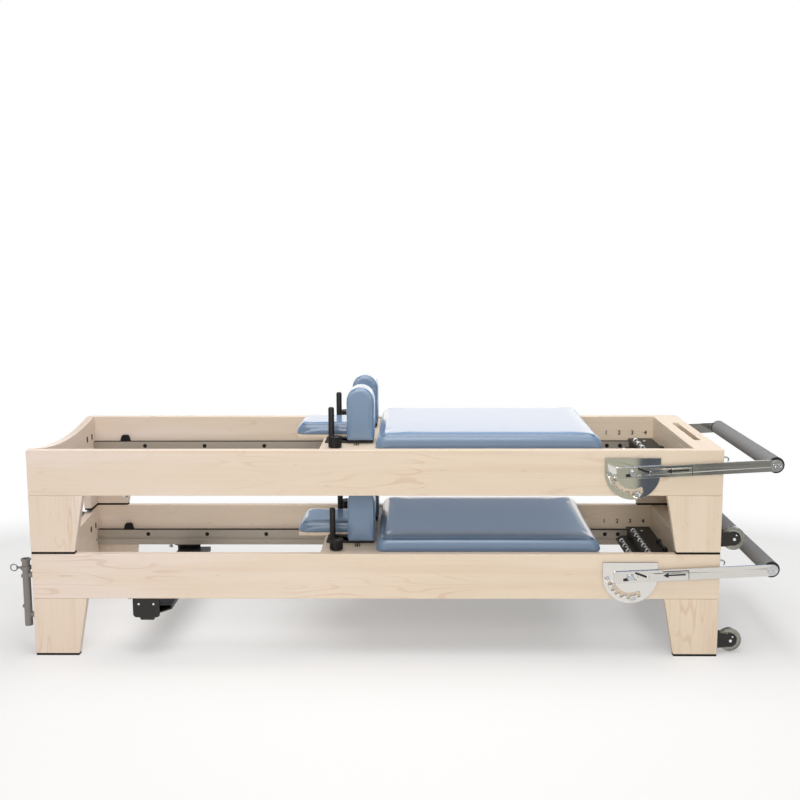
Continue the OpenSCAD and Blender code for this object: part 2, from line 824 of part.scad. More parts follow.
module far_wheel() {
    mirror([0, 1, 0]) near_wheel();
}

// Open hook with its nut, standing on z = 0
module spring_hook() {
    stem_r = 3;
    bend_r = 7;
    cylinder(h = 3, r = 7, $fn = 6);
    translate([0, 0, 2.9]) cylinder(h = 3.1, r = stem_r);
    translate([-bend_r, 0, 6]) rotate([90, 0, 0]) rotate_extrude(angle = 150)
        translate([bend_r, 0]) circle(stem_r);
}

module spring_bar() {
    glide_w = track_d - 3;
    block_l = 24;
    block_t = 24;
    knob_line = [-11, 91];
    knob_x = bar_x1 - 11;
    knob_z = bar_z + bar_t + 5;
    bevel_x = 25;
    bevel_y = 38;
    bolt_x = bar_x0 + 50;
    bolt_y = bar_half_w - 65;
    color(black_steel) {
        translate([bar_x0, -bar_half_w, bar_z]) cube([bar_plate_w, 2 * bar_half_w, bar_t]);
        translate([bar_x0, -bar_step_half_w, bar_step_z])
            cube([bar_t, 2 * bar_step_half_w, bar_z - bar_step_z + 1]);
        // Lower step, with its two corners cut off
        translate([bar_x0, 0, bar_step_z]) linear_extrude(bar_t) polygon([
            [1, -bar_step_half_w], [bevel_x - bar_step_w, -bar_step_half_w],
            [-bar_step_w, bevel_y - bar_step_half_w], [-bar_step_w, bar_step_half_w - bevel_y],
            [bevel_x - bar_step_w, bar_step_half_w], [1, bar_step_half_w]
        ]);
        both_sides() {
            translate([bar_x0 + 1, -bar_half_w + 1, track_top])
                cube([bar_plate_w - 2, glide_w, glide_h + 1]);
            translate([plunger_x - block_l / 2, -track_face + 3, hole_z - 9])
                cube([block_l, block_t, bar_z - hole_z + 10]);
            translate([plunger_x, -track_face + 4, hole_z]) rotate([90, 0, 0])
                cylinder(h = 3.6, r = plunger_r);
        }
        // Release lever with two ball knobs, along the foot edge of the plate
        for (y = knob_line) translate([knob_x, y, knob_z]) sphere(10);
        translate([knob_x, knob_line[1], knob_z]) rotate([90, 0, 0])
            cylinder(h = knob_line[1] - knob_line[0], r = 3);
    }
    color(bright_steel) {
        for (row = [[upper_row_x, bar_z, hook_n], [lower_row_x, bar_step_z, hook_n - 1]], i = [0:row[2] - 1])
            translate([row[0], (i - (row[2] - 1) / 2) * hook_pitch, row[1] + bar_t]) spring_hook();
        for (y = [-bolt_y, bolt_y]) translate([bolt_x, y, bar_z + bar_t]) cylinder(h = 3.5, r = 5);
    }
}

module footbar_hubs() {
    clear_in = 0.3;
    color(bright_steel) both_sides() translate([pivot_x, -half_w, pivot_z]) difference() {
        rotate([90, 0, 0]) {
            translate([0, 0, clear_in]) cylinder(h = quadrant_t + arm_gap - 2 * clear_in, r = hub_r);
            rotate([0, 0, arm_slope]) translate([-hub_l / 2, -hub_w / 2, quadrant_t + 0.1])
                cube([hub_l, hub_w, arm_gap + arm_t + 0.1]);
        }
        translate([0, 1, 0]) rotate([90, 0, 0]) cylinder(h = quadrant_t + arm_t + 4, r = pivot_r + run_clear);
    }
}

// Arm outline along X from the pivot, with the slot for the hub and the slanted slot
module arm_shape() {
    tail_r = 5;
    slot_end = [58.9, -3.6];
    slot_start = [26, 10.5];
    slot_w = 6.5;
    slant = atan2(slot_end[1] - slot_start[1], slot_end[0] - slot_start[0]);
    slot_l = norm(slot_end - slot_start) + slot_w;
    difference() {
        union() {
            translate([-arm_tail, -arm_w / 2]) rounded_rect(arm_l + arm_tail - 1, arm_w, tail_r);
            translate([arm_l - arm_w / 2, -arm_w / 2]) square([arm_w / 2, arm_w]);
            translate([arm_l, 0]) circle(arm_w / 2);
        }
        translate([-hub_l / 2 - 0.3, -hub_w / 2 - 0.3]) square([hub_l + lock_travel + 0.6, hub_w + 0.6]);
        translate((slot_start + slot_end) / 2) rotate(slant) obround(slot_l, slot_w);
    }
}

module arrow_shape() {
    head_l = 14;
    tail_l = 46;
    translate([head_l, -1.5]) square([tail_l, 3]);
    polygon([[0, 0], [head_l, 5], [head_l, -5]]);
    translate([-4, 9]) square([84, 1.5]);
}

module footbar_frame() {
    arrow_u = 116;
    mark_d = 0.4;
    color(bright_steel) {
        both_sides() translate([pivot_x, 0, pivot_z]) rotate([0, -arm_slope, 0]) {
            difference() {
                translate([0, -arm_in, 0]) plate_xz(arm_t) arm_shape();
                translate([arrow_u, -arm_out + mark_d, 0]) plate_xz(arm_t) arrow_shape();
            }
            translate([0, -arm_in, 0]) plate_xz(lug_t) difference() {
                union() {
                    translate(pin_at(0)) circle(lug_r);
                    translate([-arm_tail + 1, -arm_w / 2]) square([16, 12]);
                }
                translate([-hub_l / 2 - 0.3, -hub_w / 2 - 0.3]) square([hub_l, hub_w + 0.6]);
            }
            translate([pin_at(0)[0], -half_w - 0.8, pin_at(0)[1]]) rotate([90, 0, 0])
                cylinder(h = quadrant_t + arm_gap, r = lock_pin_r);
            for (u = [arm_l - 9, arm_l + 9]) translate([u, -arm_out + 0.5, 0]) rotate([90, 0, 0])
                cylinder(h = 2, r = 4);
            translate([58.9, -arm_out + 0.5, -3.6]) rotate([90, 0, 0]) cylinder(h = 3, r = 6);
        }
        translate([pivot_x, 0, pivot_z]) rotate([0, -arm_slope, 0]) translate([arm_l, arm_in + 1, 0])
            rotate([90, 0, 0]) cylinder(h = 2 * arm_in + 2, r = bar_tube_r);
    }
}

module footbar_grip() {
    end = arm_in - seat_gap;
    color(foam) translate([pivot_x, 0, pivot_z]) rotate([0, -arm_slope, 0]) translate([arm_l, 0, 0])
        rotate([90, 0, 0]) {
            difference() {
                cylinder(h = 2 * (end - grip_cap_t), r = grip_r, center = true);
                cylinder(h = 2 * end, r = bar_tube_r, center = true);
            }
            for (s = [-1, 1]) translate([0, 0, s * (end - grip_cap_t / 2)]) difference() {
                cylinder(h = grip_cap_t, r = grip_r, center = true);
                cylinder(h = grip_cap_t + 2, r = bar_tube_r, center = true);
            }
        }
}

module carriage_frame() {
    plate_l = side_plate_x1 - side_plate_x0;
    guide_x = [head_axle + guide_in, foot_axle - guide_in - guide_l];
    bar_len = 2 * side_plate_y + 1;
    color(black_steel) {
        both_sides() {
            translate([side_plate_x0, -side_plate_y - side_plate_t, side_plate_z])
                cube([plate_l, side_plate_t, deck_z - side_plate_z]);
            // Axle stubs with a spacer inside the roller and a clip outside it
            for (x = [head_axle, foot_axle]) translate([x, 0, roller_z]) rotate([90, 0, 0]) {
                translate([0, 0, side_plate_y + 1]) cylinder(h = inner_w - side_plate_y - 2, r = axle_r);
                translate([0, 0, side_plate_y + 1]) cylinder(h = roller_y - seat_gap - side_plate_y - 1, r = 10);
                translate([0, 0, roller_y + roller_w + seat_gap]) cylinder(h = 2, r = 9);
            }
            // Guide tabs that keep the carriage between the tracks
            for (x = guide_x) translate([x, -side_plate_y - side_plate_t, track_top - guide_drop]) {
                cube([guide_l, side_plate_t, side_plate_z - track_top + guide_drop + 1]);
                translate([0, guide_gap - side_gap, 0]) cube([guide_l, side_gap, guide_h]);
            }
        }
        for (x = [side_plate_x0 + 4, (side_plate_x0 + side_plate_x1) / 2, side_plate_x1 - cross_bar_w - 4])
            translate([x, -bar_len / 2, deck_z - cross_bar_h]) cube([cross_bar_w, bar_len, cross_bar_h]);
        for (x = [anchor_x, rest_rod_x]) translate([x, bar_len / 2, spring_z]) rotate([90, 0, 0])
            cylinder(h = bar_len, r = spring_rod_r);
    }
}

module carriage_board() {
    color(beech) difference() {
        translate([deck_x, -deck_w / 2, deck_z]) board_x(deck_l, deck_w, deck_t, edge_r);
        both_sides() translate([knob_x, -knob_y, deck_z - 1])
            cylinder(h = deck_t + 2, r = knob_stud_r + stud_clear);
    }
}

module carriage_pad() {
    color(vinyl) translate([cushion_x + cushion_l / 2, 0, deck_top + cushion_gap])
        cushion(cushion_l, deck_w, cushion_h, cushion_r, 16);
}

module roller_pair(x) {
    crown_r = 3;
    color(rubber) both_sides() translate([x, -roller_y, roller_z]) rotate([90, 0, 0])
        rotate_extrude($fn = 96) {
            translate([axle_r + run_clear, 0]) square([roller_r - crown_r - axle_r - run_clear, roller_w]);
            translate([roller_r - crown_r - 1, crown_r]) square([crown_r + 1, roller_w - 2 * crown_r]);
            for (z = [crown_r, roller_w - crown_r]) translate([roller_r - crown_r, z]) circle(crown_r);
        }
}

module head_rollers() {
    roller_pair(head_axle);
}

module foot_rollers() {
    roller_pair(foot_axle);
}

module springs() {
    color(bright_steel) for (i = [0:spring_n - 1])
        translate([0, (i - (spring_n - 1) / 2) * spring_pitch, spring_z]) {
            translate([spring_x, 0, 0]) rotate([0, 90, 0]) cylinder(h = spring_l, r = spring_r);
            for (end = [[anchor_x, 1], [rest_rod_x, -1]]) translate([end[0], 0, 0]) {
                rotate([90, 0, 0]) rotate_extrude() translate([eye_r, 0]) circle(wire_r);
                translate([end[1] * eye_r, 0, 0]) rotate([0, end[1] * 90, 0])
                    cylinder(h = spring_lead + 1, r = wire_r);
            }
        }
}

module headrest_board() {
    l = headrest_hinge_x - headrest_pad_x - 4;
    half = headrest_half_w;
    pin_half = half + ear_gap + ear_t;
    color(beech) translate([headrest_hinge_x, 0, headrest_hinge_z]) {
        translate([-l, -half, -headrest_board_t / 2]) cube([l, 2 * half, headrest_board_t]);
        rotate([90, 0, 0]) cylinder(h = 2 * half, r = headrest_board_t / 2, center = true);
        rotate([90, 0, 0]) cylinder(h = 2 * pin_half, r = hinge_pin_r, center = true);
    }
}

module headrest_pad() {
    pad_z = headrest_hinge_z + headrest_board_t / 2 + cushion_gap;
    color(vinyl) translate([headrest_pad_x + headrest_l / 2, 0, pad_z])
        cushion(headrest_l, headrest_w, headrest_h, 28, 14);
}

module shoulder_pads() {
    color(vinyl) both_sides() translate([
        shoulder_x + shoulder_w / 2, -neck_gap / 2, deck_top + bracket_t + riser_h + cushion_gap
    ]) rotate([90, 0, 0]) arch_cushion(shoulder_w, shoulder_h, shoulder_t);
}

module rest_brackets() {
    riser_l = shoulder_w - 10;
    riser_in = 14;
    stud_h = knob_h - 5;
    color(black_steel) both_sides() {
        difference() {
            union() {
                translate([bracket_x, -bracket_out, deck_top]) linear_extrude(bracket_t)
                    rounded_rect(bracket_l, bracket_out - bracket_in, 5);
                translate([headrest_hinge_x - ear_r, -bracket_in - ear_t, deck_top])
                    cube([2 * ear_r, ear_t, headrest_hinge_z - deck_top]);
                translate([headrest_hinge_x, -bracket_in, headrest_hinge_z]) plate_xz(ear_t) intersection() {
                    circle(ear_r);
                    translate([-ear_r, deck_top - headrest_hinge_z]) square(2 * ear_r);
                }
            }
            translate([headrest_hinge_x, 1 - bracket_in, headrest_hinge_z]) rotate([90, 0, 0])
                cylinder(h = ear_t + 2, r = hinge_pin_r + run_clear);
        }
        translate([shoulder_x + 5, -bracket_out + 2, deck_top + bracket_t - 1])
            cube([riser_l, bracket_out - bracket_in - riser_in, riser_h + 1]);
        translate([post_x, -post_y, deck_top + bracket_t - 1]) {
            cylinder(h = post_h - bracket_t - 3, r = post_r);
            translate([0, 0, post_h - bracket_t - 3]) cylinder(h = 4, r1 = post_r, r2 = post_r - 3);
        }
        translate([knob_x, -knob_y, deck_top]) {
            cylinder(h = washer_h, r = 14);
            translate([0, 0, -deck_t]) cylinder(h = deck_t + washer_h + stud_h, r = knob_stud_r);
        }
    }
}

// Fluted knob on its stud
module near_rope_knob() {
    flutes = 8;
    color(black_steel) translate([knob_x, -knob_y, deck_top + washer_h + seat_gap]) difference() {
        union() {
            cylinder(h = knob_h - 4, r = knob_r);
            translate([0, 0, knob_h - 4]) cylinder(h = 4, r1 = knob_r, r2 = knob_r - 4);
        }
        for (i = [0:flutes - 1]) rotate(i * 360 / flutes) translate([knob_r + 3.5, 0, 6])
            cylinder(h = knob_h, r = 6);
        translate([0, 0, -1]) cylinder(h = knob_h - 3, r = knob_stud_r + run_clear);
    }
}

module far_rope_knob() {
    mirror([0, 1, 0]) near_rope_knob();
}

module tower_sockets() {
    neck_h = 6;
    color(aluminium) both_sides() translate([-socket_out, -socket_y, 0]) {
        difference() {
            union() {
                translate([0, 0, socket_z]) cylinder(h = socket_l, r = socket_or);
                translate([0, 0, socket_top - mouth_h]) cylinder(h = mouth_h, r = mouth_r);
                translate([0, 0, socket_top - mouth_h - neck_h])
                    cylinder(h = neck_h, r1 = socket_or, r2 = mouth_r);
                translate([0, 0, collar_z]) cylinder(h = collar_h, r = collar_r);
                translate([-collar_r - boss_l, 0, pin_z]) rotate([0, 90, 0])
                    cylinder(h = collar_r + boss_l, r = collar_h / 2 - 1);
                for (z = stand_off_z) translate([0, 0, z]) rotate([0, 90, 0])
                    cylinder(h = socket_out - back_plate_t + 1, r = stand_off_r);
                for (z = clamp_z) translate([-socket_or - 4, 0, z]) rotate([0, 90, 0])
                    cylinder(h = 8, r = 6);
            }
            translate([0, 0, socket_z + socket_floor]) cylinder(h = socket_l, r = socket_r);
            translate([-collar_r - boss_l - 1, 0, pin_z]) rotate([0, 90, 0])
                cylinder(h = collar_r + boss_l + 1, r = pin_r + run_clear);
        }
        translate([socket_out - back_plate_t, -back_plate_w / 2, back_plate_z])
            cube([back_plate_t, back_plate_w, back_plate_h]);
    }
}

module near_tower_pin() {
    color(bright_steel) translate([-socket_out, -socket_y, pin_z]) {
        translate([-pin_back, 0, 0]) rotate([0, 90, 0]) cylinder(h = pin_back - pin_tip, r = pin_r);
        translate([-pin_back, 0, 0]) rotate([0, 90, 0]) cylinder(h = pin_head_h, r = pin_r + 2);
        translate([-ring_out, 0, 0]) rotate([90, 0, 0]) rotate_extrude()
            translate([ring_r, 0]) circle(ring_wire);
    }
}

module far_tower_pin() {
    mirror([0, 1, 0]) near_tower_pin();
}

module cross_member() {
    wall = 4;
    span = inner_w + board_t - 3;
    corner = 12;
    beam_in = 10;
    beam_out = 42;
    beam_top = 22;
    beam_low = 53;
    beam_rise = 14;
    tab = [24, 50, 9];
    flange_w = 47;
    color(black_steel) {
        both_sides() {
            // End plate with rounded lower corners and a small tab below
            translate([cross_x, -span + wall, rail_z - cross_h]) plate_xz(wall) {
                translate([0, corner]) square([cross_w, cross_h - corner]);
                translate([corner, 0]) square([cross_w - 2 * corner, corner + 1]);
                for (x = [corner, cross_w - corner]) translate([x, corner]) circle(corner);
                polygon([
                    [tab[0], 1], [tab[0], 4 - tab[2]], [tab[0] + 4, -tab[2]], [tab[0] + tab[1] - 4, -tab[2]],
                    [tab[0] + tab[1], 4 - tab[2]], [tab[0] + tab[1], 1]
                ]);
            }
            translate([cross_x, -span, rail_z - wall]) cube([cross_w, flange_w, wall]);
        }
        // Box beam from end plate to end plate, which reaches out past their foot edge
        translate([cross_x, span - wall + 1, rail_z]) plate_xz(2 * (span - wall + 1)) difference() {
            polygon([
                [beam_in, -beam_low], [cross_w, -beam_low], [cross_w + beam_out, beam_rise - beam_low],
                [cross_w + beam_out, -beam_top], [beam_in, -beam_top]
            ]);
            polygon([
                [beam_in + wall, wall - beam_low], [cross_w, wall - beam_low],
                [cross_w + beam_out - wall, wall + beam_rise - beam_low],
                [cross_w + beam_out - wall, -beam_top - wall], [beam_in + wall, -beam_top - wall]
            ]);
        }
    }
    color(bright_steel) both_sides() for (x = [21, cross_w - 20])
        translate([cross_x + x, -span + 0.01, rail_z - 20]) rotate([90, 0, 0]) cylinder(h = 2, r = 4);
}

in_unit(0) side_rails();  // lower_side_rails
in_unit(0) head_board();  // lower_head_board
in_unit(0) foot_platform();  // lower_foot_platform
in_unit(0) legs();  // lower_legs
in_unit(0) foot_pads();  // lower_foot_pads
in_unit(0) tracks();  // lower_tracks
in_unit(0) track_stops();  // lower_track_stops
in_unit(0) quadrant_plates();  // lower_quadrant_plates
in_unit(0) frame_bolts();  // lower_frame_bolts
in_unit(0) wheel_brackets();  // lower_wheel_brackets
in_unit(0) near_wheel();  // lower_near_wheel
in_unit(0) far_wheel();  // lower_far_wheel
in_unit(0) spring_bar();  // lower_spring_bar
in_unit(0) footbar_hubs();  // lower_footbar_hubs
in_unit(0) footbar_frame();  // lower_footbar_frame
in_unit(0) footbar_grip();  // lower_footbar_grip
in_unit(0) carriage_frame();  // lower_carriage_frame
in_unit(0) carriage_board();  // lower_carriage_board
in_unit(0) carriage_pad();  // lower_carriage_pad
in_unit(0) head_rollers();  // lower_head_rollers
in_unit(0) foot_rollers();  // lower_foot_rollers
in_unit(0) springs();  // lower_springs
in_unit(0) headrest_board();  // lower_headrest_board
in_unit(0) headrest_pad();  // lower_headrest_pad
in_unit(0) shoulder_pads();  // lower_shoulder_pads
in_unit(0) rest_brackets();  // lower_rest_brackets
in_unit(0) near_rope_knob();  // lower_near_rope_knob
in_unit(0) far_rope_knob();  // lower_far_rope_knob
in_unit(1) side_rails();  // upper_side_rails
in_unit(1) head_board();  // upper_head_board
in_unit(1) foot_platform();  // upper_foot_platform
in_unit(1) legs();  // upper_legs
in_unit(1) foot_pads();  // upper_foot_pads
in_unit(1) tracks();  // upper_tracks
in_unit(1) track_stops();  // upper_track_stops
in_unit(1) quadrant_plates();  // upper_quadrant_plates
in_unit(1) frame_bolts();  // upper_frame_bolts
in_unit(1) wheel_brackets();  // upper_wheel_brackets
in_unit(1) near_wheel();  // upper_near_wheel
in_unit(1) far_wheel();  // upper_far_wheel
in_unit(1) spring_bar();  // upper_spring_bar
in_unit(1) footbar_hubs();  // upper_footbar_hubs
in_unit(1) footbar_frame();  // upper_footbar_frame
in_unit(1) footbar_grip();  // upper_footbar_grip
in_unit(1) carriage_frame();  // upper_carriage_frame
in_unit(1) carriage_board();  // upper_carriage_board
in_unit(1) carriage_pad();  // upper_carriage_pad
in_unit(1) head_rollers();  // upper_head_rollers
in_unit(1) foot_rollers();  // upper_foot_rollers
in_unit(1) springs();  // upper_springs
in_unit(1) headrest_board();  // upper_headrest_board
in_unit(1) headrest_pad();  // upper_headrest_pad
in_unit(1) shoulder_pads();  // upper_shoulder_pads
in_unit(1) rest_brackets();  // upper_rest_brackets
in_unit(1) near_rope_knob();  // upper_near_rope_knob
in_unit(1) far_rope_knob();  // upper_far_rope_knob
in_unit(0) tower_sockets();
in_unit(0) near_tower_pin();
in_unit(0) far_tower_pin();
in_unit(0) cross_member();
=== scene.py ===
import bpy
import json
import math
from mathutils import Euler, Matrix, Vector

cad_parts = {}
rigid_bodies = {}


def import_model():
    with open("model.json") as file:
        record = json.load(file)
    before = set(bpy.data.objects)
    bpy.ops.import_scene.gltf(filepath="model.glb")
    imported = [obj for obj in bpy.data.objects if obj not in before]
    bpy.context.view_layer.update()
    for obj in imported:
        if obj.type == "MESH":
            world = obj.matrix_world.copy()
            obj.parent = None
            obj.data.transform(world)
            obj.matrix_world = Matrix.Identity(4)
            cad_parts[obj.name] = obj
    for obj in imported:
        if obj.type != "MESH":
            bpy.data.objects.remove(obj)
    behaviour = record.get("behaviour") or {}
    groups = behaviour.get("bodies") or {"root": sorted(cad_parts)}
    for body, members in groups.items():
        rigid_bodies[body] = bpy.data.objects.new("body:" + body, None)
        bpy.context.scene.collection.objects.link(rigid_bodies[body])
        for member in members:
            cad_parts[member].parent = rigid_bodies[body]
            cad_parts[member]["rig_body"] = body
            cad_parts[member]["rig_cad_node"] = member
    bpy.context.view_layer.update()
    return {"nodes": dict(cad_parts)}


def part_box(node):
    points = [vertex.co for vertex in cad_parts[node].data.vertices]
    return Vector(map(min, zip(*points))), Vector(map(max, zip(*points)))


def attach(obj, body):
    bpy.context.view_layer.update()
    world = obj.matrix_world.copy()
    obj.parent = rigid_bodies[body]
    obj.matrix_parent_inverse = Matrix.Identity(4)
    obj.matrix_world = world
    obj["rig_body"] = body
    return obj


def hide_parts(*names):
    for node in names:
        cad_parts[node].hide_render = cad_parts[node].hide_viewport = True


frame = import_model()
print("frame loaded:", len(frame["nodes"]), "nodes")

# Each reformer is measured in mm: x from its head face, y from its middle, z from its feet
frameSize = {"length": 2340, "width": 680, "height": 360, "board": 28, "railHeight": 157, "stackStep": 360}
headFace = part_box("lower_side_rails")[0].x
halfWidth = frameSize["width"] / 2
innerHalf = halfWidth - frameSize["board"]
railZ = frameSize["height"] - frameSize["railHeight"]
railTop = frameSize["height"]
length = frameSize["length"]


def place(x, y, z):
    return Vector((headFace + x / 1000, y / 1000, z / 1000))


# Modelling helpers


def selectOnly(*pieces):
    bpy.ops.object.select_all(action="DESELECT")
    for piece in pieces:
        piece.select_set(True)
    bpy.context.view_layer.objects.active = pieces[0]


def rename(piece, name):
    piece.name = name
    piece.data.name = name
    return piece


def settle(piece, name=None):  # the origin goes to the world's, and the place into the mesh
    selectOnly(piece)
    bpy.ops.object.transform_apply(location=True, rotation=True, scale=True)
    return rename(piece, name) if name else piece


def addBox(name, low, high):
    lowCorner, highCorner = place(*low), place(*high)
    bpy.ops.mesh.primitive_cube_add(size=1, location=(lowCorner + highCorner) / 2)
    bpy.context.object.scale = highCorner - lowCorner
    return settle(bpy.context.object, name)


def addRod(name, start, end, radius, endRadius=None, sides=40):
    first, last = place(*start), place(*end)
    turn = (last - first).to_track_quat("Z", "Y").to_euler()
    bpy.ops.mesh.primitive_cone_add(
        vertices=sides, radius1=radius / 1000, radius2=(radius if endRadius is None else endRadius) / 1000,
        depth=(last - first).length, location=(first + last) / 2, rotation=turn)
    return settle(bpy.context.object, name)


def rodAcross(name, x, z, start, end, radius, sides=40):  # a rod along y
    return addRod(name, (x, start, z), (x, end, z), radius, sides=sides)


def rodUpright(name, x, y, low, high, radius, endRadius=None, sides=40):
    return addRod(name, (x, y, low), (x, y, high), radius, endRadius, sides)


def addWire(name, points, radius, closed=False, detail=3):
    wire = bpy.data.curves.new(name, "CURVE")
    wire.dimensions = "3D"
    wire.bevel_depth = radius / 1000
    wire.bevel_resolution = detail
    wire.use_fill_caps = True
    line = wire.splines.new("POLY")
    line.points.add(len(points) - 1)
    for point, (x, y, z) in zip(line.points, points):
        point.co = (*place(x, y, z), 1)
    line.use_cyclic_u = closed
    piece = bpy.data.objects.new(name, wire)
    bpy.context.scene.collection.objects.link(piece)
    selectOnly(piece)
    bpy.ops.object.convert(target="MESH")
    piece = bpy.context.object
    bpy.ops.object.shade_smooth()
    return settle(piece, name)


def modify(piece, kind, **settings):
    selectOnly(piece)
    modifier = piece.modifiers.new(kind, kind)
    for key, value in settings.items():
        setattr(modifier, key, value)
    bpy.ops.object.modifier_apply(modifier=modifier.name)


def roundEdges(piece, width, segments=2, angle=40, clamp=True):
    selectOnly(piece)
    bpy.ops.object.shade_smooth_by_angle(angle=math.radians(angle + 5))
    modify(piece, "BEVEL", width=width / 1000, segments=segments, limit_method="ANGLE",
           angle_limit=math.radians(angle), use_clamp_overlap=clamp, harden_normals=True)
    return piece


def cut(piece, *cutters):
    for cutter in cutters:
        modify(piece, "BOOLEAN", operation="DIFFERENCE", object=cutter, solver="EXACT")
        bpy.data.objects.remove(cutter)
    return piece


def fuse(piece, *others):
    for other in others:
        modify(piece, "BOOLEAN", operation="UNION", object=other, solver="EXACT")
        bpy.data.objects.remove(other)
    return piece


def join(name, *pieces):
    selectOnly(*pieces)
    bpy.ops.object.join()
    return rename(bpy.context.object, name)


def pick(piece, kind, test):  # leaves edit mode open, with what passes the test selected
    selectOnly(piece)
    bpy.ops.object.mode_set(mode="EDIT")
    bpy.ops.mesh.select_mode(type=kind)
    bpy.ops.mesh.select_all(action="DESELECT")
    bpy.ops.object.mode_set(mode="OBJECT")
    if kind == "VERT":
        for vertex in piece.data.vertices:
            vertex.select = test(vertex.co)
    else:
        for face in piece.data.polygons:
            face.select = test(face.center, face.normal)
    bpy.ops.object.mode_set(mode="EDIT")


def pickEdges(piece, test):  # the same for edges, by their two ends
    pick(piece, "VERT", lambda co: False)
    bpy.ops.mesh.select_mode(type="EDGE")
    done()
    for edge in piece.data.edges:
        edge.select = test(*(piece.data.vertices[i].co for i in edge.vertices))
    bpy.ops.object.mode_set(mode="EDIT")


def done():
    bpy.ops.object.mode_set(mode="OBJECT")


def shift(piece, test, move):  # moves the vertices that pass the test, in mm
    pick(piece, "VERT", test)
    bpy.ops.transform.translate(value=[m / 1000 for m in move])
    done()


def hollow(piece, test, *steps):  # insets the faces that pass the test and moves them, step by step, in mm
    pick(piece, "FACE", test)
    for inset, move in steps:
        bpy.ops.mesh.inset(thickness=inset / 1000)
        bpy.ops.transform.translate(value=[m / 1000 for m in move])
    done()


def roundPicked(radius, segments):  # bevels what is selected, in mm, and leaves edit mode
    bpy.ops.mesh.bevel(offset=radius / 1000, segments=segments, affect="EDGES")
    done()


def slotCutter(centre, axis, along, size, width, depth):  # an obround, as long as size along one axis
    start = [c - a * depth / 2 for c, a in zip(centre, axis)]
    end = [c + a * depth / 2 for c, a in zip(centre, axis)]
    cutter = addRod("cutter", start, end, width / 2, sides=32)
    middle = place(*centre)
    direction = Vector(along)
    stretch = (size - width) / 2
    for way in (1, -1):
        ahead = direction * way
        shift(cutter, lambda co: (co - middle).dot(ahead) > 0.0001, [way * a * stretch for a in along])
    return cutter


def copyPiece(piece, name):
    twin = piece.copy()
    twin.data = piece.data.copy()
    bpy.context.scene.collection.objects.link(twin)
    return rename(twin, name)


def faceOutward(piece):
    pick(piece, "VERT", lambda co: True)
    bpy.ops.mesh.normals_make_consistent(inside=False)
    done()
    return piece


def mirrored(piece, name):  # the same piece on the other side of the frame
    twin = copyPiece(piece, name)
    twin.scale.y = -1
    return faceOutward(settle(twin))


def softCopy(node, name, width, segments=2, angle=35):  # the CAD shape with its edges broken
    twin = copyPiece(frame["nodes"][node], name)
    twin.parent = None
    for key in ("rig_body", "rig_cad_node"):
        del twin[key]
    twin.data.materials.clear()
    pick(twin, "VERT", lambda co: True)
    bpy.ops.mesh.remove_doubles(threshold=0.00001)
    bpy.ops.mesh.dissolve_limited(angle_limit=math.radians(0.5))
    done()
    return roundEdges(twin, width, segments, angle, clamp=False)


# Every piece of the lower reformer, with its body, its CAD nodes and its material slot
parts = []


def keep(piece, body, nodes, slot, finish=None):
    parts.append((piece, body, nodes, slot, finish or slot))


def keepPair(piece, *where):  # the near piece and its mirror image on the far side
    keep(piece, *where)
    keep(mirrored(piece, piece.name.replace("Near", "Far").replace("near", "far")), *where)


nearFar = ((-1, "Near"), (1, "Far"))
through = 60  # mm, enough to cut through any board


# Wooden frame

boards = {"edge": 3, "joint": 1.2, "scoop": 30, "ropeSlot": (9, 20), "ropeSlotDrop": 74,
          "ropeSlotY": {"Inner": 217, "Outer": 275}, "grommet": 2.4, "grommetSlip": 0.1, "grommetProud": 0.4,
          "grommetEdge": 0.3, "flange": (4, 1.4)}
legs = {"topLength": 185, "footLength": 150, "topWidth": 135, "footWidth": 108, "padHeight": 7, "edge": 2.5}
platform = {"width": 95, "top": 22, "slot": (340, 22), "slotShift": 3}


def makeRails():
    rail = addBox("nearRail", (0, -halfWidth, railZ), (length, -innerHalf, railTop))
    keepPair(roundEdges(rail, boards["edge"], 3), "frame", ["side_rails"], "beech", "mapleAlong")


def ropeSlot(centre, wider, depth):  # the slot's shape, with its width and height changed by wider
    width, height = boards["ropeSlot"]
    return slotCutter(centre, (1, 0, 0), (0, 0, 1), height + wider, width + wider, depth)


def makeGrommet(name, centre):  # the rubber liner of a rope slot, with a flange on each face of the board
    thick = frameSize["board"]
    wider, flange = boards["flange"]
    grommet = ropeSlot(centre, -boards["grommetSlip"], thick + boards["grommetProud"])
    for face in (0, thick):
        fuse(grommet, ropeSlot((face, centre[1], centre[2]), wider, flange))
    roundEdges(cut(grommet, ropeSlot(centre, -2 * boards["grommet"], through)), boards["grommetEdge"])
    grommet.name = name
    keep(grommet, "frame", [], "rubber")


def makeHeadBoard():
    thick = frameSize["board"]
    board = addBox("headBoard", (0, -innerHalf, railZ), (thick, innerHalf, railTop))
    radius = (innerHalf ** 2 + boards["scoop"] ** 2) / (2 * boards["scoop"])
    middle = railTop - boards["scoop"] + radius
    cut(board, addRod("scoop", (-5, 0, middle), (thick + 5, 0, middle), radius, sides=720))
    for row, y in boards["ropeSlotY"].items():
        for side, word in nearFar:
            centre = (thick / 2, side * y, railTop - boards["ropeSlotDrop"])
            cut(board, ropeSlot(centre, 0, through))
            makeGrommet("ropeGrommet" + word + row, centre)
    roundEdges(board, boards["joint"])
    keep(board, "frame", ["head_board"], "beech", "mapleAcross")


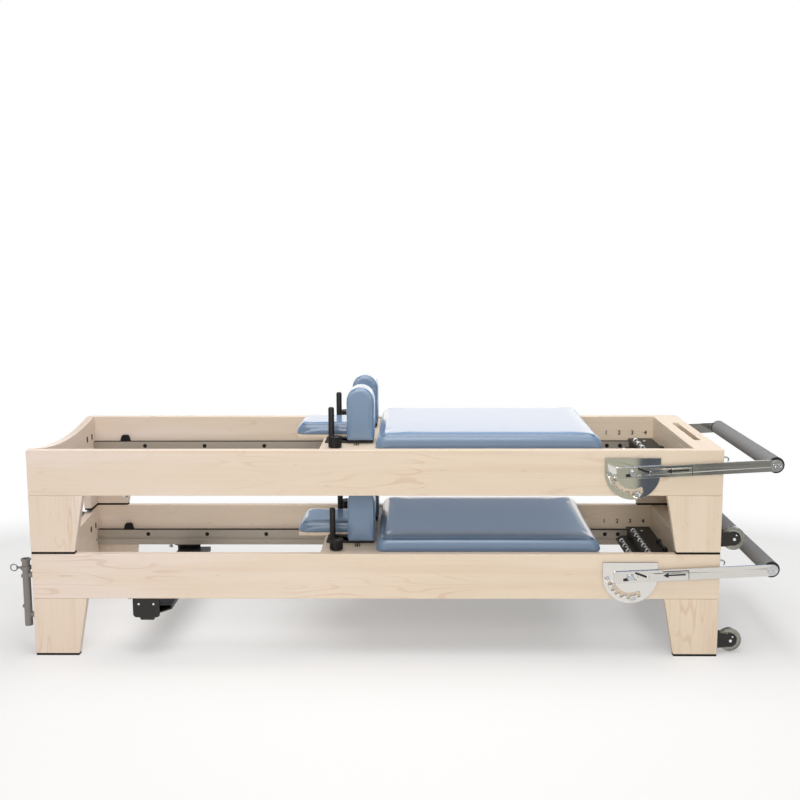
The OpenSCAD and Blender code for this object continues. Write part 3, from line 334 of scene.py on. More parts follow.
def makePlatform():
    start = length - platform["width"]
    under = railTop - platform["top"]
    slotLength, slotWidth = platform["slot"]
    top = addBox("platformTop", (start, -innerHalf, under), (length, innerHalf, railTop))
    centre = (length - platform["width"] / 2 + platform["slotShift"], 0, under)
    cut(top, slotCutter(centre, (0, 0, 1), (0, 1, 0), slotLength, slotWidth, through))
    roundEdges(top, boards["edge"], 3)
    outer = addBox("footBoard", (length - frameSize["board"], -innerHalf, railZ), (length, innerHalf, under))
    inner = addBox("innerBoard", (start, -innerHalf, railZ), (start + platform["top"], innerHalf, under))
    for board in (outer, inner):
        roundEdges(board, boards["joint"])
    for board in (top, outer, inner):
        keep(board, "frame", ["foot_platform"], "beech", "mapleAcross")


def makeLegs():
    lowest = place(0, 0, railZ - 1).z
    side = addBox("legSide", (0, -halfWidth, legs["padHeight"]), (legs["topLength"], -innerHalf, railZ))
    edge = place(legs["topLength"] - 1, 0, 0).x
    shift(side, lambda co: co.x > edge and co.z < lowest, (legs["footLength"] - legs["topLength"], 0, 0))
    inside = legs["topWidth"] - halfWidth
    end = addBox("legEnd", (0, -innerHalf, legs["padHeight"]), (frameSize["board"], inside, railZ))
    edge = place(0, inside - 1, 0).y
    shift(end, lambda co: co.y > edge and co.z < lowest, (0, legs["footWidth"] - legs["topWidth"], 0))
    near = join("legHeadNear", roundEdges(side, legs["edge"], 3), roundEdges(end, boards["joint"]))
    far = mirrored(near, "legHeadFar")
    feet = []
    for piece, name in ((near, "legFootNear"), (far, "legFootFar")):
        twin = copyPiece(piece, name)
        twin.scale.x = -1
        twin.location.x = place(0, 0, 0).x + place(length, 0, 0).x
        feet.append(faceOutward(settle(twin)))
    for piece in (*feet, near, far):
        keep(piece, "frame", ["legs"], "beech", "mapleUpright")


makeRails()
makeHeadBoard()
makePlatform()
makeLegs()
print("wooden frame made")

# Metal and rubber of the frame that keep the CAD shape, with their edges broken:
# edge in mm, body, slot, and the finish where it isn't the slot's own
softened = {
    "track_stops": (2.0, "frame", "rubber"),
    "quadrant_plates": (0.5, "frame", "polished_steel", "plateSteel"),
    "frame_bolts": (0.5, "frame", "bright_steel"),
    "wheel_brackets": (0.6, "frame", "black_steel"),
    "footbar_hubs": (0.4, "hubs", "bright_steel"),
    "footbar_frame": (0.6, "footbar", "polished_steel"),
    "carriage_frame": (0.6, "carriage", "black_steel"),
    "rest_brackets": (0.9, "carriage", "black_steel"),
}


def camelName(node):
    words = node.split("_")
    return words[0] + "".join(word.title() for word in words[1:])


for node, (edge, body, slot, *finish) in softened.items():
    keep(softCopy("lower_" + node, camelName(node), edge), body, [node], slot, *finish)
print("metal frame made")

# Footbar, measured from its pivot: grip, printed arrow, dark pieces painted as shade in the slanted slot, in
# a recess by the pivot (a latch shape) and in the hex sockets, and the screws at its end.
# Boxes are x from and to, z from and to, and pairs are a radius and how far it stands out
footbar = {"pivotX": 2036, "pivotZ": 284, "slope": 3, "reach": 477, "armIn": 345.5, "armThick": 6,
           "gripRadius": 27, "tubeRadius": 14, "capWidth": 5, "capGap": 0.4, "capProud": 0.4,
           "arrow": (110, 76, 5.6, 9, 18), "line": (108, 88, 12, 3), "sleeveEdge": (-0.5, 1.5, -18),
           "ink": (0.08, 0.3), "slotStart": (19, 13.5), "slotEnd": (62, -4.9), "slotWidth": 7.6,
           # the slot, latch and socket pieces are dark, painted shade in the slot, in a recess by the pivot
           # and in the screw sockets
           "liner": (0.3, 1.3), "latch": (-25, -7, -13, -3), "latchArm": (-18, 14, -6, -2),
           "latchDepth": (0.3, 0.5), "washer": (19, 0.4), "tipScrews": (468, 486), "screw": (5.6, 1.4),
           "socket": (2.7, 1.5), "dish": (2.6, 1.3), "foamEdge": 1.5, "capEdge": 1.2, "linerEdge": 0.3,
           "washerEdge": 0.4, "screwEdge": 0.5, "seat": 0.4}
armFace = -footbar["armIn"] - footbar["armThick"]


def toArm(piece):  # from the arm's own place, with its pivot at x = z = 0, to where it lies at rest
    turn = Matrix.Rotation(-math.radians(footbar["slope"]), 4, "Y")
    pivot = place(footbar["pivotX"], 0, footbar["pivotZ"])
    piece.data.transform(Matrix.Translation(pivot) @ turn @ Matrix.Translation(-place(0, 0, 0)))
    return piece


def makeGrip():
    capEnd = footbar["armIn"] - footbar["capGap"]
    foamEnd = capEnd - footbar["capWidth"]
    reach, radius = footbar["reach"], footbar["gripRadius"]
    past = halfWidth + through

    def sleeve(name, start, end, radius, edge, slot):
        piece = rodAcross(name, reach, 0, start, end, radius, 96)
        cut(piece, rodAcross("bore", reach, 0, -past, past, footbar["tubeRadius"], 64))
        keep(toArm(roundEdges(piece, edge, 3)), "footbar", ["footbar_grip"], slot)

    sleeve("gripFoam", -foamEnd, foamEnd, radius, footbar["foamEdge"], "grey_foam")
    for side, word in nearFar:
        sleeve("gripCap" + word, side * foamEnd, side * capEnd, radius + footbar["capProud"],
               footbar["capEdge"], "black_plastic")


def makeArrow():  # the printed arrow, the line above it and the edge of the sliding sleeve
    start, reach, thick, half, point = footbar["arrow"]
    lineStart, lineReach, lineZ, lineThick = footbar["line"]
    before, after, low = footbar["sleeveEdge"]
    proud, deep = footbar["ink"]
    lineEnd, lineTop = lineStart + lineReach, lineZ + lineThick

    def printed(name, x0, x1, z0, z1):
        return addBox(name, (x0, armFace - proud, z0), (x1, armFace + deep, z1))

    shaft = printed("shaft", start + point - 1, start + reach, -thick / 2, thick / 2)
    line = printed("line", lineStart, lineEnd, lineZ, lineTop)
    edge = printed("edge", lineEnd + before, lineEnd + after, low, lineTop)
    head = printed("head", start, start + point, -half, half)
    tip = place(start + 1, 0, 0).x
    pick(head, "VERT", lambda co: co.x < tip)
    bpy.ops.transform.resize(value=(1, 1, 0.02))
    done()
    keepPair(toArm(join("arrowNear", shaft, line, edge, head)), "footbar", [], "black_plastic")


def makeArmDetails():  # dark pieces that are painted shade, in the slanted slot, in a recess by the pivot drawn as a latch and in the sockets of the screws at the end, and those screws
    (x0, z0), (x1, z1) = footbar["slotStart"], footbar["slotEnd"]
    reach, width = math.hypot(x1 - x0, z1 - z0), footbar["slotWidth"]
    along = ((x1 - x0) / reach, 0, (z1 - z0) / reach)
    proud, deep = footbar["liner"]
    middle = ((x0 + x1) / 2, armFace + (deep - proud) / 2, (z0 + z1) / 2)
    # painted shade: a dark sheet in the slanted slot stands for the shade inside it
    dark = [slotCutter(middle, (0, 1, 0), along, reach + width, width, proud + deep)]
    # painted shade: dark latch boxes stand for a shaded recess by the pivot
    proud, deep = footbar["latchDepth"]
    for x0, x1, z0, z1 in (footbar["latch"], footbar["latchArm"]):
        dark.append(addBox("latch", (x0, armFace - proud, z0), (x1, armFace + deep, z1)))
    dark = [roundEdges(piece, footbar["linerEdge"]) for piece in dark]
    # painted shade: black hexagons in the screw dishes stand for the shade in their sockets
    radius, proud = footbar["socket"]
    for x in footbar["tipScrews"]:
        dark.append(rodAcross("socket", x, 0, armFace - proud, armFace, radius, 6))
    keepPair(toArm(join("slotLinerNear", *dark)), "footbar", [], "black_plastic")
    radius, proud = footbar["washer"]
    washer = rodAcross("washer", footbar["reach"], 0, armFace - proud, armFace + proud, radius)
    bright = [roundEdges(washer, footbar["washerEdge"])]
    radius, proud = footbar["screw"]
    rim, depth = footbar["dish"]
    for x in footbar["tipScrews"]:
        screw = rodAcross("screw", x, 0, armFace - proud, armFace + footbar["seat"], radius)
        hollow(screw, lambda centre, normal: normal.y < -0.9, (rim, (0, depth, 0)))
        bright.append(roundEdges(screw, footbar["screwEdge"]))
    keepPair(toArm(join("tipScrewsNear", *bright)), "footbar", [], "bright_steel")


makeGrip()
makeArrow()
makeArmDetails()
print("footbar made")

# Wheels: a tyre on a hub that is hollowed on both sides, some with lightening holes.
# Each bolt of a fork is x, z, radius and how far it stands out
transport = {"x": 2392, "y": 295, "z": 45, "radius": 40, "width": 24, "hub": 24, "axle": 6.2, "holes": 6}
roller = {"head": 1045, "foot": 1870, "y": 300, "z": 288.3, "radius": 25, "width": 16, "hub": 18, "axle": 6.2,
          "holes": 0}
wheel = {"round": 4, "flat": 0.6, "hubIn": 1.5, "rim": 3, "hollow": 4, "boss": 4, "hole": 3.2, "edge": 0.5}
fork = {"half": 17, "bolts": ((0, 0, 5.2, 3.2), (7, 14, 2.9, 2.4)), "edge": 0.6}


def makeWheel(name, x, y, size):
    half, z = size["width"] / 2, size["z"]

    def across(label, radius, reach, sides=64, dx=0, dz=0):
        return rodAcross(label, x + dx, z + dz, y - reach, y + reach, radius, sides)

    tyre = across(name + "Tyre", size["radius"], half)
    wall = size["radius"] - size["hub"]
    pick(tyre, "FACE", lambda centre, normal: abs(normal.y) > 0.9)
    bpy.ops.mesh.inset(thickness=wall / 1000)
    bpy.ops.mesh.bridge_edge_loops()
    done()
    roundEdges(faceOutward(tyre), min(wheel["round"], size["width"] / 4, wall / 2 - wheel["flat"]), 4)
    hub = across(name + "Hub", size["hub"], half - wheel["hubIn"])
    outer, inner = size["hub"] - wheel["rim"], size["axle"] + wheel["boss"]
    for side in (-1, 1):
        sink = -side * wheel["hollow"]
        hollow(hub, lambda centre, normal: normal.y * side > 0.9,
               (wheel["rim"], (0, sink, 0)), (outer - inner, (0, -sink, 0)))
    cut(hub, across("bore", size["axle"], size["width"], 32))
    middle = (outer + inner) / 2
    for i in range(size["holes"]):
        turn = 2 * math.pi * i / size["holes"]
        dx, dz = middle * math.cos(turn), middle * math.sin(turn)
        cut(hub, across("hole", wheel["hole"], size["width"], 20, dx, dz))
    return tyre, roundEdges(hub, wheel["edge"])


def makeWheels():
    for side, word in nearFar:
        name = word.lower()
        tyre, hub = makeWheel(name + "Wheel", transport["x"], side * transport["y"], transport)
        keep(tyre, "wheel_" + name, [name + "_wheel"], "grey_wheel")
        keep(hub, "wheel_" + name, [name + "_wheel"], "grey_wheel", "wheelHub")
        for end in ("head", "foot"):
            tyre, hub = makeWheel(end + "Roller" + word, roller[end], side * roller["y"], roller)
            keep(tyre, end + "_roller_pair", [end + "_rollers"], "roller")
            keep(hub, end + "_roller_pair", [end + "_rollers"], "roller", "wheelHub")


def makeForkBolts():  # bright bolt ends on the two cheeks of each fork
    for side, word in nearFar:
        bolts = []
        for out in (-1, 1):
            y = transport["y"] + out * fork["half"]
            for x, z, radius, rise in fork["bolts"]:
                bolt = rodAcross("bolt", transport["x"] + x, transport["z"] + z, side * y,
                                 side * (y + out * rise), radius, 24)
                bolts.append(roundEdges(bolt, fork["edge"]))
        keep(join(word.lower() + "WheelBolts", *bolts), "frame", [], "bright_steel", "brightBolt")


makeWheels()
makeForkBolts()
print("wheels made")

# Carriage: deck, rope knobs with finger flutes and a dished top, springs
deck = {"x": 982, "end": 1940, "half": 300, "z": 336, "top": 354, "headrestEdge": 1.2}
knob = {"x": 1035, "y": 268, "z": 356.8, "radius": 23, "height": 36, "flutes": 8, "fluteOut": 3.5,
        "fluteRadius": 6, "fluteFrom": 6, "rim": 5, "dish": 1.5, "edge": 1.6}
springs = {"count": 4, "pitch": 132, "radius": 12, "wire": 2, "anchorX": 1270, "restX": 1856.6, "z": 288.3,
           "coilStart": 1283.3, "coilLength": 560, "turns": 132, "eyeGap": 6, "turnSteps": 12, "eyeSteps": 20}


def makeDeck():
    board = addBox("deck", (deck["x"], -deck["half"], deck["z"]), (deck["end"], deck["half"], deck["top"]))
    roundEdges(board, boards["edge"], 3)
    keep(board, "carriage", ["carriage_board"], "beech", "mapleAlong")
    board = softCopy("lower_headrest_board", "headrestBoard", deck["headrestEdge"])
    keep(board, "headrest", ["headrest_board"], "beech", "mapleAcross")


def makeKnobs():
    x, y, z, top = knob["x"], -knob["y"], knob["z"], knob["z"] + knob["height"]
    piece = rodUpright("nearKnob", x, y, z, top, knob["radius"], sides=96)
    reach = knob["radius"] + knob["fluteOut"]
    for i in range(knob["flutes"]):
        turn = 2 * math.pi * i / knob["flutes"]
        fx, fy = x + reach * math.cos(turn), y + reach * math.sin(turn)
        low, high = z + knob["fluteFrom"], z + through
        cut(piece, rodUpright("flute", fx, fy, low, high, knob["fluteRadius"], sides=32))
    level = place(0, 0, top - 1).z
    hollow(piece, lambda centre, normal: centre.z > level and normal.z > 0.9,
           (knob["rim"], (0, 0, -knob["dish"])))
    roundEdges(piece, knob["edge"], 3, 35, clamp=False)
    keep(piece, "near_knob", ["near_rope_knob"], "black_plastic")
    keep(mirrored(piece, "farKnob"), "far_knob", ["far_rope_knob"], "black_plastic")


def makeSprings():
    z, count = springs["z"], springs["turns"] * springs["turnSteps"]
    eye = springs["coilStart"] - springs["eyeGap"] - springs["anchorX"]
    radius = springs["radius"] - springs["wire"]
    ring = [2 * math.pi * k / springs["eyeSteps"] for k in range(springs["eyeSteps"] + 1)]
    for i in range(springs["count"]):
        y = (i - (springs["count"] - 1) / 2) * springs["pitch"]
        path = [(springs["anchorX"] + eye * math.cos(a), y, z + eye * math.sin(a)) for a in ring]
        for k in range(count + 1):
            a = 2 * math.pi * k / springs["turnSteps"]
            grow = min(1, k / springs["turnSteps"], (count - k) / springs["turnSteps"])  # end turns run in
            x = springs["coilStart"] + springs["coilLength"] * k / count
            path.append((x, y + radius * grow * math.sin(a), z + radius * grow * math.cos(a)))
        path += [(springs["restX"] - eye * math.cos(a), y, z + eye * math.sin(a)) for a in ring]
        wire = addWire("spring" + str(i + 1), path, springs["wire"], detail=1)
        keep(wire, "carriage", ["springs"], "bright_steel")


makeDeck()
makeKnobs()
makeSprings()
print("carriage made")

# Tracks: a dark band on top, painted shade for the shade line where the track meets the rail, and dark discs
# in the holes, painted shade for the shade inside each hole
track = {"top": 263, "face": 290, "band": (290.4, 311.4, 0.3), "from": 28, "to": 2245, "holeZ": 246,
         "holeRadius": 8, "plug": (1.8, 0.3), "plugEdge": 0.2, "bandEdge": 0.1,
         "holes": [233 + 237 * i for i in range(8)] + [2216 - 51.7 * i for i in range(4)]}


def makeTrackDetails():
    # painted shade: the dark band on top of the track stands for the shade line where the track meets the
    # rail
    low, high, rise = track["band"]
    band = addBox("runningBandNear", (track["from"] + 1, -high, track["top"] - 0.1),
                  (track["to"] - 1, -low, track["top"] + rise))
    keepPair(roundEdges(band, track["bandEdge"], 1), "frame", [], "rubber", "runningBand")
    # painted shade: dark rubber discs set in the track holes stand for the shade inside each hole
    proud, deep = track["plug"]
    start, end = -track["face"] - proud, -track["face"] + deep
    shadeDiscs = []
    for x in track["holes"]:
        plug = rodAcross("plug", x, track["holeZ"], start, end, track["holeRadius"], 24)
        shadeDiscs.append(roundEdges(plug, track["plugEdge"]))
    keepPair(join("holePlugsNear", *shadeDiscs), "frame", [], "rubber")


makeTrackDetails()
print("track details made")

# Spring bar: a stepped plate with two rows of hooks and a release lever. A row is x, z and its count,
# and glide, block and plunger are measured from the middle of the bar. A nut, washer, bolt or collar ends
# with its height and its rounded edge
bar = {"x0": 2148, "x1": 2241, "z": 266, "thick": 6, "half": 311, "stepHalf": 288, "stepX": 2098,
       "stepZ": 235, "corner": (25, 38), "rows": ((2118, 235, 7), (2168, 266, 8)), "hookPitch": 66,
       "bolts": (2198, 246),
       "glideY": (291, 310), "glideZ": 263.2, "blockY": 275, "blockHalf": 12, "blockZ": 237, "blockX": 2216,
       "plungerY": (286, 289.5), "plungerZ": 246, "plungerRadius": (4.8, 4.2),
       "edge": 1, "plungerEdge": 0.3}
hook = {"nut": (7.4, 3.4, 0.5), "washer": (8.6, 1, 0.3), "stem": 6, "bend": 7, "curl": 210, "wire": 3,
        "bolt": (5.2, 3.6, 0.8), "sunk": 0.2}
lever = {"knobs": (-11, 91), "x": 2230, "z": 277, "ball": 10, "collar": (10.2, 9.2, 1.6, 0.4), "sunk": 0.3,
         "rod": 3}


def makeBar():
    thick, half, wide = bar["thick"], bar["stepHalf"], bar["half"]
    plate = addBox("barPlate", (bar["x0"], -wide, bar["z"]), (bar["x1"], wide, bar["z"] + thick))
    web = addBox("web", (bar["x0"], -half, bar["stepZ"]), (bar["x0"] + thick, half, bar["z"] + 1))
    step = addBox("step", (bar["stepX"], -half, bar["stepZ"]), (bar["x0"] + 1, half, bar["stepZ"] + thick))
    edge, (cornerX, cornerY) = place(bar["stepX"] + 1, 0, 0).x, bar["corner"]
    pickEdges(step, lambda first, last: abs(first.z - last.z) > 0.001 and first.x < edge and last.x < edge)
    roundPicked(cornerX, 1)
    inner = place(0, half - cornerX + 1, 0).y
    for side in (1, -1):
        shift(step, lambda co: co.x < edge and 0 < co.y * side < inner, (0, side * (cornerX - cornerY), 0))
    fuse(plate, web, step)
    x, reach = bar["blockX"], bar["blockHalf"]
    for side in (-1, 1):
        low, high = sorted(side * y for y in bar["glideY"])
        glide = addBox("glide", (bar["x0"] + 1, low, bar["glideZ"]), (bar["x1"] - 1, high, bar["z"] + 1))
        y = side * bar["blockY"]
        block = addBox("block", (x - reach, y - reach, bar["blockZ"]), (x + reach, y + reach, bar["z"] + 1))
        fuse(plate, glide, block)
    roundEdges(plate, bar["edge"], clamp=False)
    keep(plate, "bar", ["spring_bar"], "black_steel")
    for side, word in nearFar:
        start, end = ((x, side * y, bar["plungerZ"]) for y in bar["plungerY"])
        plunger = addRod("plunger" + word, start, end, *bar["plungerRadius"], sides=24)
        keep(roundEdges(plunger, bar["plungerEdge"]), "bar", ["spring_bar"], "bright_steel")


def makeHooks():
    def standing(label, x, y, z, size, sides, sunk, segments=2):
        radius, height, edge = size
        return roundEdges(rodUpright(label, x, y, z - sunk, z + height, radius, sides=sides), edge, segments)

    pieces = []
    bend, sunk = hook["bend"], hook["sunk"]
    turns = [math.radians(a) for a in range(15, hook["curl"] + 1, 15)]
    for x, plateZ, count in bar["rows"]:
        z = plateZ + bar["thick"]
        stemTop = z + hook["stem"]
        for i in range(count):
            y = (i - (count - 1) / 2) * bar["hookPitch"]
            pieces.append(standing("nut", x, y, z, hook["nut"], 6, 0))
            pieces.append(standing("washer", x, y, z, hook["washer"], 24, sunk, segments=1))
            path = [(x, y, z), (x, y, stemTop)]
            path += [(x - bend + bend * math.cos(a), y, stemTop + bend * math.sin(a)) for a in turns]
            pieces.append(addWire("wire", path, hook["wire"], detail=2))
    x, reach = bar["bolts"]
    for y in (-reach, reach):
        pieces.append(standing("bolt", x, y, bar["z"] + bar["thick"], hook["bolt"], 40, sunk))
    keep(join("springHooks", *pieces), "bar", ["spring_bar"], "bright_steel", "brightBolt")


def makeLever():
    pieces = []
    x, z, top = lever["x"], lever["z"], bar["z"] + bar["thick"]
    low, high, height, edge = lever["collar"]
    for y in lever["knobs"]:
        bpy.ops.mesh.primitive_uv_sphere_add(segments=32, ring_count=20, radius=lever["ball"] / 1000,
                                             location=place(x, y, z))
        ball = settle(bpy.context.object, "ball")
        bpy.ops.object.shade_smooth()
        collar = rodUpright("collar", x, y, top - lever["sunk"], top + height, low, high)
        pieces += [ball, roundEdges(collar, edge)]
    rod = addWire("rod", [(x, y, z) for y in lever["knobs"]], lever["rod"])
    keep(join("releaseLever", *pieces, rod), "bar", ["spring_bar"], "black_plastic")


makeBar()
makeHooks()
makeLever()
print("spring bar made")

# Upholstery: low and high corners, corner radius, top roll, how far the vinyl may swell
cushions = {
    "carriagePad": {"low": (1168, -300, 354.4), "high": (1950, 300, 404), "corner": 34, "roll": 16,
                    "cap": 1.8, "voxel": 6.7, "body": "carriage", "node": "carriage_pad", "fill": 0.8,
                    "pull": 3, "nose": (24, 27), "crease": 0.6},
    "headrestPad": {"low": (876, -100, 366.1), "high": (1140, 100, 408), "corner": 44, "roll": 14,
                    "cap": 1.2, "voxel": 4, "body": "headrest", "node": "headrest_pad", "fill": 0.7,
                    "pull": 3, "nose": (26, 0), "crease": 0.3},
}
shoulder = {"x": 1070, "width": 96, "inner": 110, "depth": 100, "low": 366.1, "height": 189, "cap": 1.8,
            "voxel": 3, "seam": 5, "fill": 0.8, "edge": 4}
seams = {"pad": (0.001, 0.0026, 6), "rest": (0.0022, 0.0018)}  # how deep and wide in m, how far below the top
cloth = {"room": 1.5, "held": 4, "frames": 20, "mass": 0.4, "pressure": 4, "quality": 5}  # room to swell in


def swell(piece, low, cap, voxel):  # cloth under pressure, held at its flat base
    modify(piece, "REMESH", mode="VOXEL", voxel_size=voxel / 1000)
    base = place(*low).z + cloth["held"] / 1000
    selectOnly(piece)
    held = piece.vertex_groups.new(name="base")
    held.add([v.index for v in piece.data.vertices if v.co.z < base], 1, "REPLACE")
    start = [v.co.copy() for v in piece.data.vertices]
    cover = piece.modifiers.new("vinyl", "CLOTH")
    cover.settings.quality = cloth["quality"]
    cover.settings.mass = cloth["mass"]
    cover.settings.vertex_group_mass = "base"
    cover.settings.use_pressure = True
    cover.settings.uniform_pressure_force = cloth["pressure"]
    cover.settings.effector_weights.gravity = 0
    cover.collision_settings.use_self_collision = False
    cover.point_cache.frame_end = cloth["frames"]
    for number in range(1, cloth["frames"] + 1):
        bpy.context.scene.frame_set(number)
    bpy.ops.object.modifier_apply(modifier=cover.name)
    bpy.context.scene.frame_set(1)
    for vertex, before in zip(piece.data.vertices, start):
        move = vertex.co - before
        if move.length > cap / 1000:
            vertex.co = before + move * (cap / 1000 / move.length)
    piece.vertex_groups.clear()


def sew(piece, depth, width, distance):  # a groove where the distance is none, marked for the vinyl to darken there as painted shade in the groove
    modify(piece, "SUBSURF", levels=1, render_levels=1)
    selectOnly(piece)
    bpy.ops.object.shade_smooth()
    mark = piece.data.attributes.new("seam", "FLOAT", "POINT")
    normals = [v.normal.copy() for v in piece.data.vertices]
    for vertex, normal in zip(piece.data.vertices, normals):
        near = math.exp(-(distance(vertex.co) / width) ** 2)
        vertex.co -= normal * depth * near
        mark.data[vertex.index].value = near


def upholster(piece, fill, *where):
    keep(piece, *where, "vinyl")


def makeCushion(name, data):
    low, high = Vector(data["low"]), Vector(data["high"])
    room = cloth["room"]
    piece = addBox(name, low + Vector((room, room, 0)), high - Vector((room, room, room)))
    pickEdges(piece, lambda first, last: abs(first.z - last.z) > 0.01)
    roundPicked(data["corner"], 8)
    top = place(*high).z - 0.003
    pick(piece, "FACE", lambda centre, normal: normal.z > 0.9 and centre.z > top)
    roundPicked(data["roll"], 5)
    swell(piece, data["low"], data["cap"], data["voxel"])
    middle = place(*((low + high) / 2))
    half = (high - low) / 2000
    pull = data["pull"] / 1000
    bottom = place(*low).z
    headNose, footNose = (reach / 1000 for reach in data["nose"])
    for vertex in piece.data.vertices:  # the sides draw in between the corners, and the ends slope back
        across = (vertex.co.x - middle.x) / half.x, (vertex.co.y - middle.y) / half.y
        vertex.co.x -= pull * across[0] ** 5 * max(0, 1 - across[1] ** 2)
        vertex.co.y -= pull * across[1] ** 5 * max(0, 1 - across[0] ** 2)
        lift = (vertex.co.z - bottom) / (2 * half.z)
        vertex.co.x += headNose * max(0, -across[0]) ** 6 * max(0, lift) ** 2
        vertex.co.x -= footNose * max(0, across[0]) ** 6 * max(0, lift) ** 2
    depth, width, drop = seams["pad"]
    line = place(0, 0, high.z - drop).z
    sew(piece, depth * data["crease"], width, lambda co: co.z - line)
    upholster(piece, data["fill"], data["body"], [data["node"]])


def makeShoulder():
    room = cloth["room"]
    x0, x1 = shoulder["x"] + room, shoulder["x"] + shoulder["width"] - room
    y0, y1 = -shoulder["inner"] - shoulder["depth"] + room, -shoulder["inner"] - room
    radius = (x1 - x0) / 2
    high = shoulder["low"] + shoulder["height"] - room
    piece = addBox("shoulderNear", (x0, y0, shoulder["low"]), (x1, y1, high))
    top = place(0, 0, high - 1).z
    pickEdges(piece, lambda first, last: min(first.z, last.z) > top and abs(first.y - last.y) > 0.01)
    roundPicked(radius - 0.1, 24)
    roundEdges(piece, shoulder["edge"], 3, 50)
    swell(piece, (x0, y0, shoulder["low"]), shoulder["cap"], shoulder["voxel"])
    seam = (y1 - y0 - 2 * shoulder["seam"]) / 2000
    middle = (y0 + y1) / 2000
    sew(piece, *seams["rest"], lambda co: abs(co.y - middle) - seam)
    far = mirrored(piece, "shoulderFar")
    for rest in (piece, far):
        upholster(rest, shoulder["fill"], "carriage", ["shoulder_pads"])


for name, data in cushions.items():
    makeCushion(name, data)
makeShoulder()
print("upholstery made")

# Position numbers on the far rail, above the track holes
numbers = {"size": 23, "bold": 0.7, "firstX": 2060.9, "pitch": 51.7, "z": 287, "count": 4, "thick": 0.1,
           "sunk": 0.15}


def makeNumbers():
    for i in range(numbers["count"]):
        bpy.ops.object.text_add()
        letters = bpy.context.object.data
        letters.body = str(i + 1)
        letters.size = numbers["size"] / 1000
        letters.align_x = "CENTER"
        letters.extrude = numbers["thick"] / 1000
        letters.offset = numbers["bold"] / 1000
        bpy.ops.object.convert(target="MESH")
        digit = bpy.context.object
        digit.rotation_euler = Euler((math.pi / 2, 0, 0))
        x = numbers["firstX"] + i * numbers["pitch"]
        digit.location = place(x, innerHalf - numbers["sunk"], numbers["z"])
        settle(digit, "number" + str(i + 1))
        keep(digit, "frame", [], "black_plastic", "printedInk")


makeNumbers()
print("numbers made")

# Small dark cord clips on the deck, in front of the shoulder rests
clips = {"x": 1101, "y": 231, "z": 354, "apart": 9.5, "radius": 3, "rise": 14, "wire": 1.4, "sunk": 0.2}


def makeClips():
    pieces = []
    radius, low, high = clips["radius"], clips["z"] - clips["sunk"], clips["z"] + clips["rise"]
    bend = [math.radians(a) for a in range(0, 181, 12)]
    for side in (-1, 1):
        for x in (clips["x"], clips["x"] + clips["apart"]):
            y = side * clips["y"]
            arch = [(x - radius * math.cos(a), y, high + radius * math.sin(a)) for a in bend]
            path = [(x - radius, y, low), *arch, (x + radius, y, low)]
            pieces.append(addWire("clip", path, clips["wire"], detail=2))
    keep(join("deckClips", *pieces), "carriage", [], "black_steel")


makeClips()
print("clips made")

# The upper reformer is the lower one again, one stack step up
placed = []
for piece, body, nodes, slot, finish in parts:
    name = piece.name[0].upper() + piece.name[1:]
    twin = copyPiece(piece, "upper" + name)
    twin.data.transform(Matrix.Translation((0, 0, frameSize["stackStep"] / 1000)))
    placed.append((twin, "upper_" + body, ["upper_" + node for node in nodes], slot, finish))
    rename(piece, "lower" + name)
    placed.append((piece, "lower_" + body, ["lower_" + node for node in nodes], slot, finish))
print("upper reformer made")

# Tower sockets, their pins and the cross member with its screws are on the lower reformer only
for node, body, edge, slot, finish in (("tower_sockets", "lower_frame", 0.7, "grey_steel", "grey_steel"),
                                       ("near_tower_pin", "tower_pin_near", 0.4, "bright_steel", "pinSteel"),
                                       ("far_tower_pin", "tower_pin_far", 0.4, "bright_steel", "pinSteel"),
                                       ("cross_member", "lower_frame", 0.8, "black_steel", "black_steel")):
    placed.append((softCopy(node, camelName(node), edge), body, [node], slot, finish))
crossScrews = {"x": (361, 412), "z": 183, "in": 0.5, "out": 0.8, "radius": 3.6, "edge": 0.4}


def makeCrossScrews():
    face = abs(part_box("cross_member")[0].y) * 1000
    start, end = face - crossScrews["in"], face + crossScrews["out"]
    heads = []
    for x in crossScrews["x"]:
        for side in (-1, 1):
            head = rodAcross("head", x, crossScrews["z"], side * start, side * end, crossScrews["radius"], 24)
            heads.append(roundEdges(head, crossScrews["edge"]))
    placed.append((join("crossScrews", *heads), "lower_frame", [], "bright_steel", "brightBolt"))


makeCrossScrews()


# Materials


def toLinear(code):
    channels = [int(code[i:i + 2], 16) / 255 for i in (1, 3, 5)]
    return tuple(c / 12.92 if c <= 0.04045 else ((c + 0.055) / 1.055) ** 2.4 for c in channels) + (1,)


def addNode(tree, kind, settings=None, links=None, values=None):  # a node with its settings, links and values
    node = tree.nodes.new("ShaderNode" + kind)
    for key, value in (settings or {}).items():
        setattr(node, key, value)
    for key, value in (values or {}).items():
        node.inputs[key].default_value = value
    for key, source in (links or {}).items():
        tree.links.new(source, node.inputs[key])
    return node


def calculate(tree, operation, *entries):  # each entry a number or another node's output
    links = {i: entry for i, entry in enumerate(entries) if isinstance(entry, bpy.types.NodeSocket)}
    values = {i: entry for i, entry in enumerate(entries) if i not in links}
    return addNode(tree, "Math", {"operation": operation}, links, values).outputs[0]


def remap(tree, source, low, high, to=(0, 1), kind="LINEAR"):
    return addNode(tree, "MapRange", {"interpolation_type": kind}, {"Value": source},
                   {"From Min": low, "From Max": high, "To Min": to[0], "To Max": to[1]}).outputs[0]


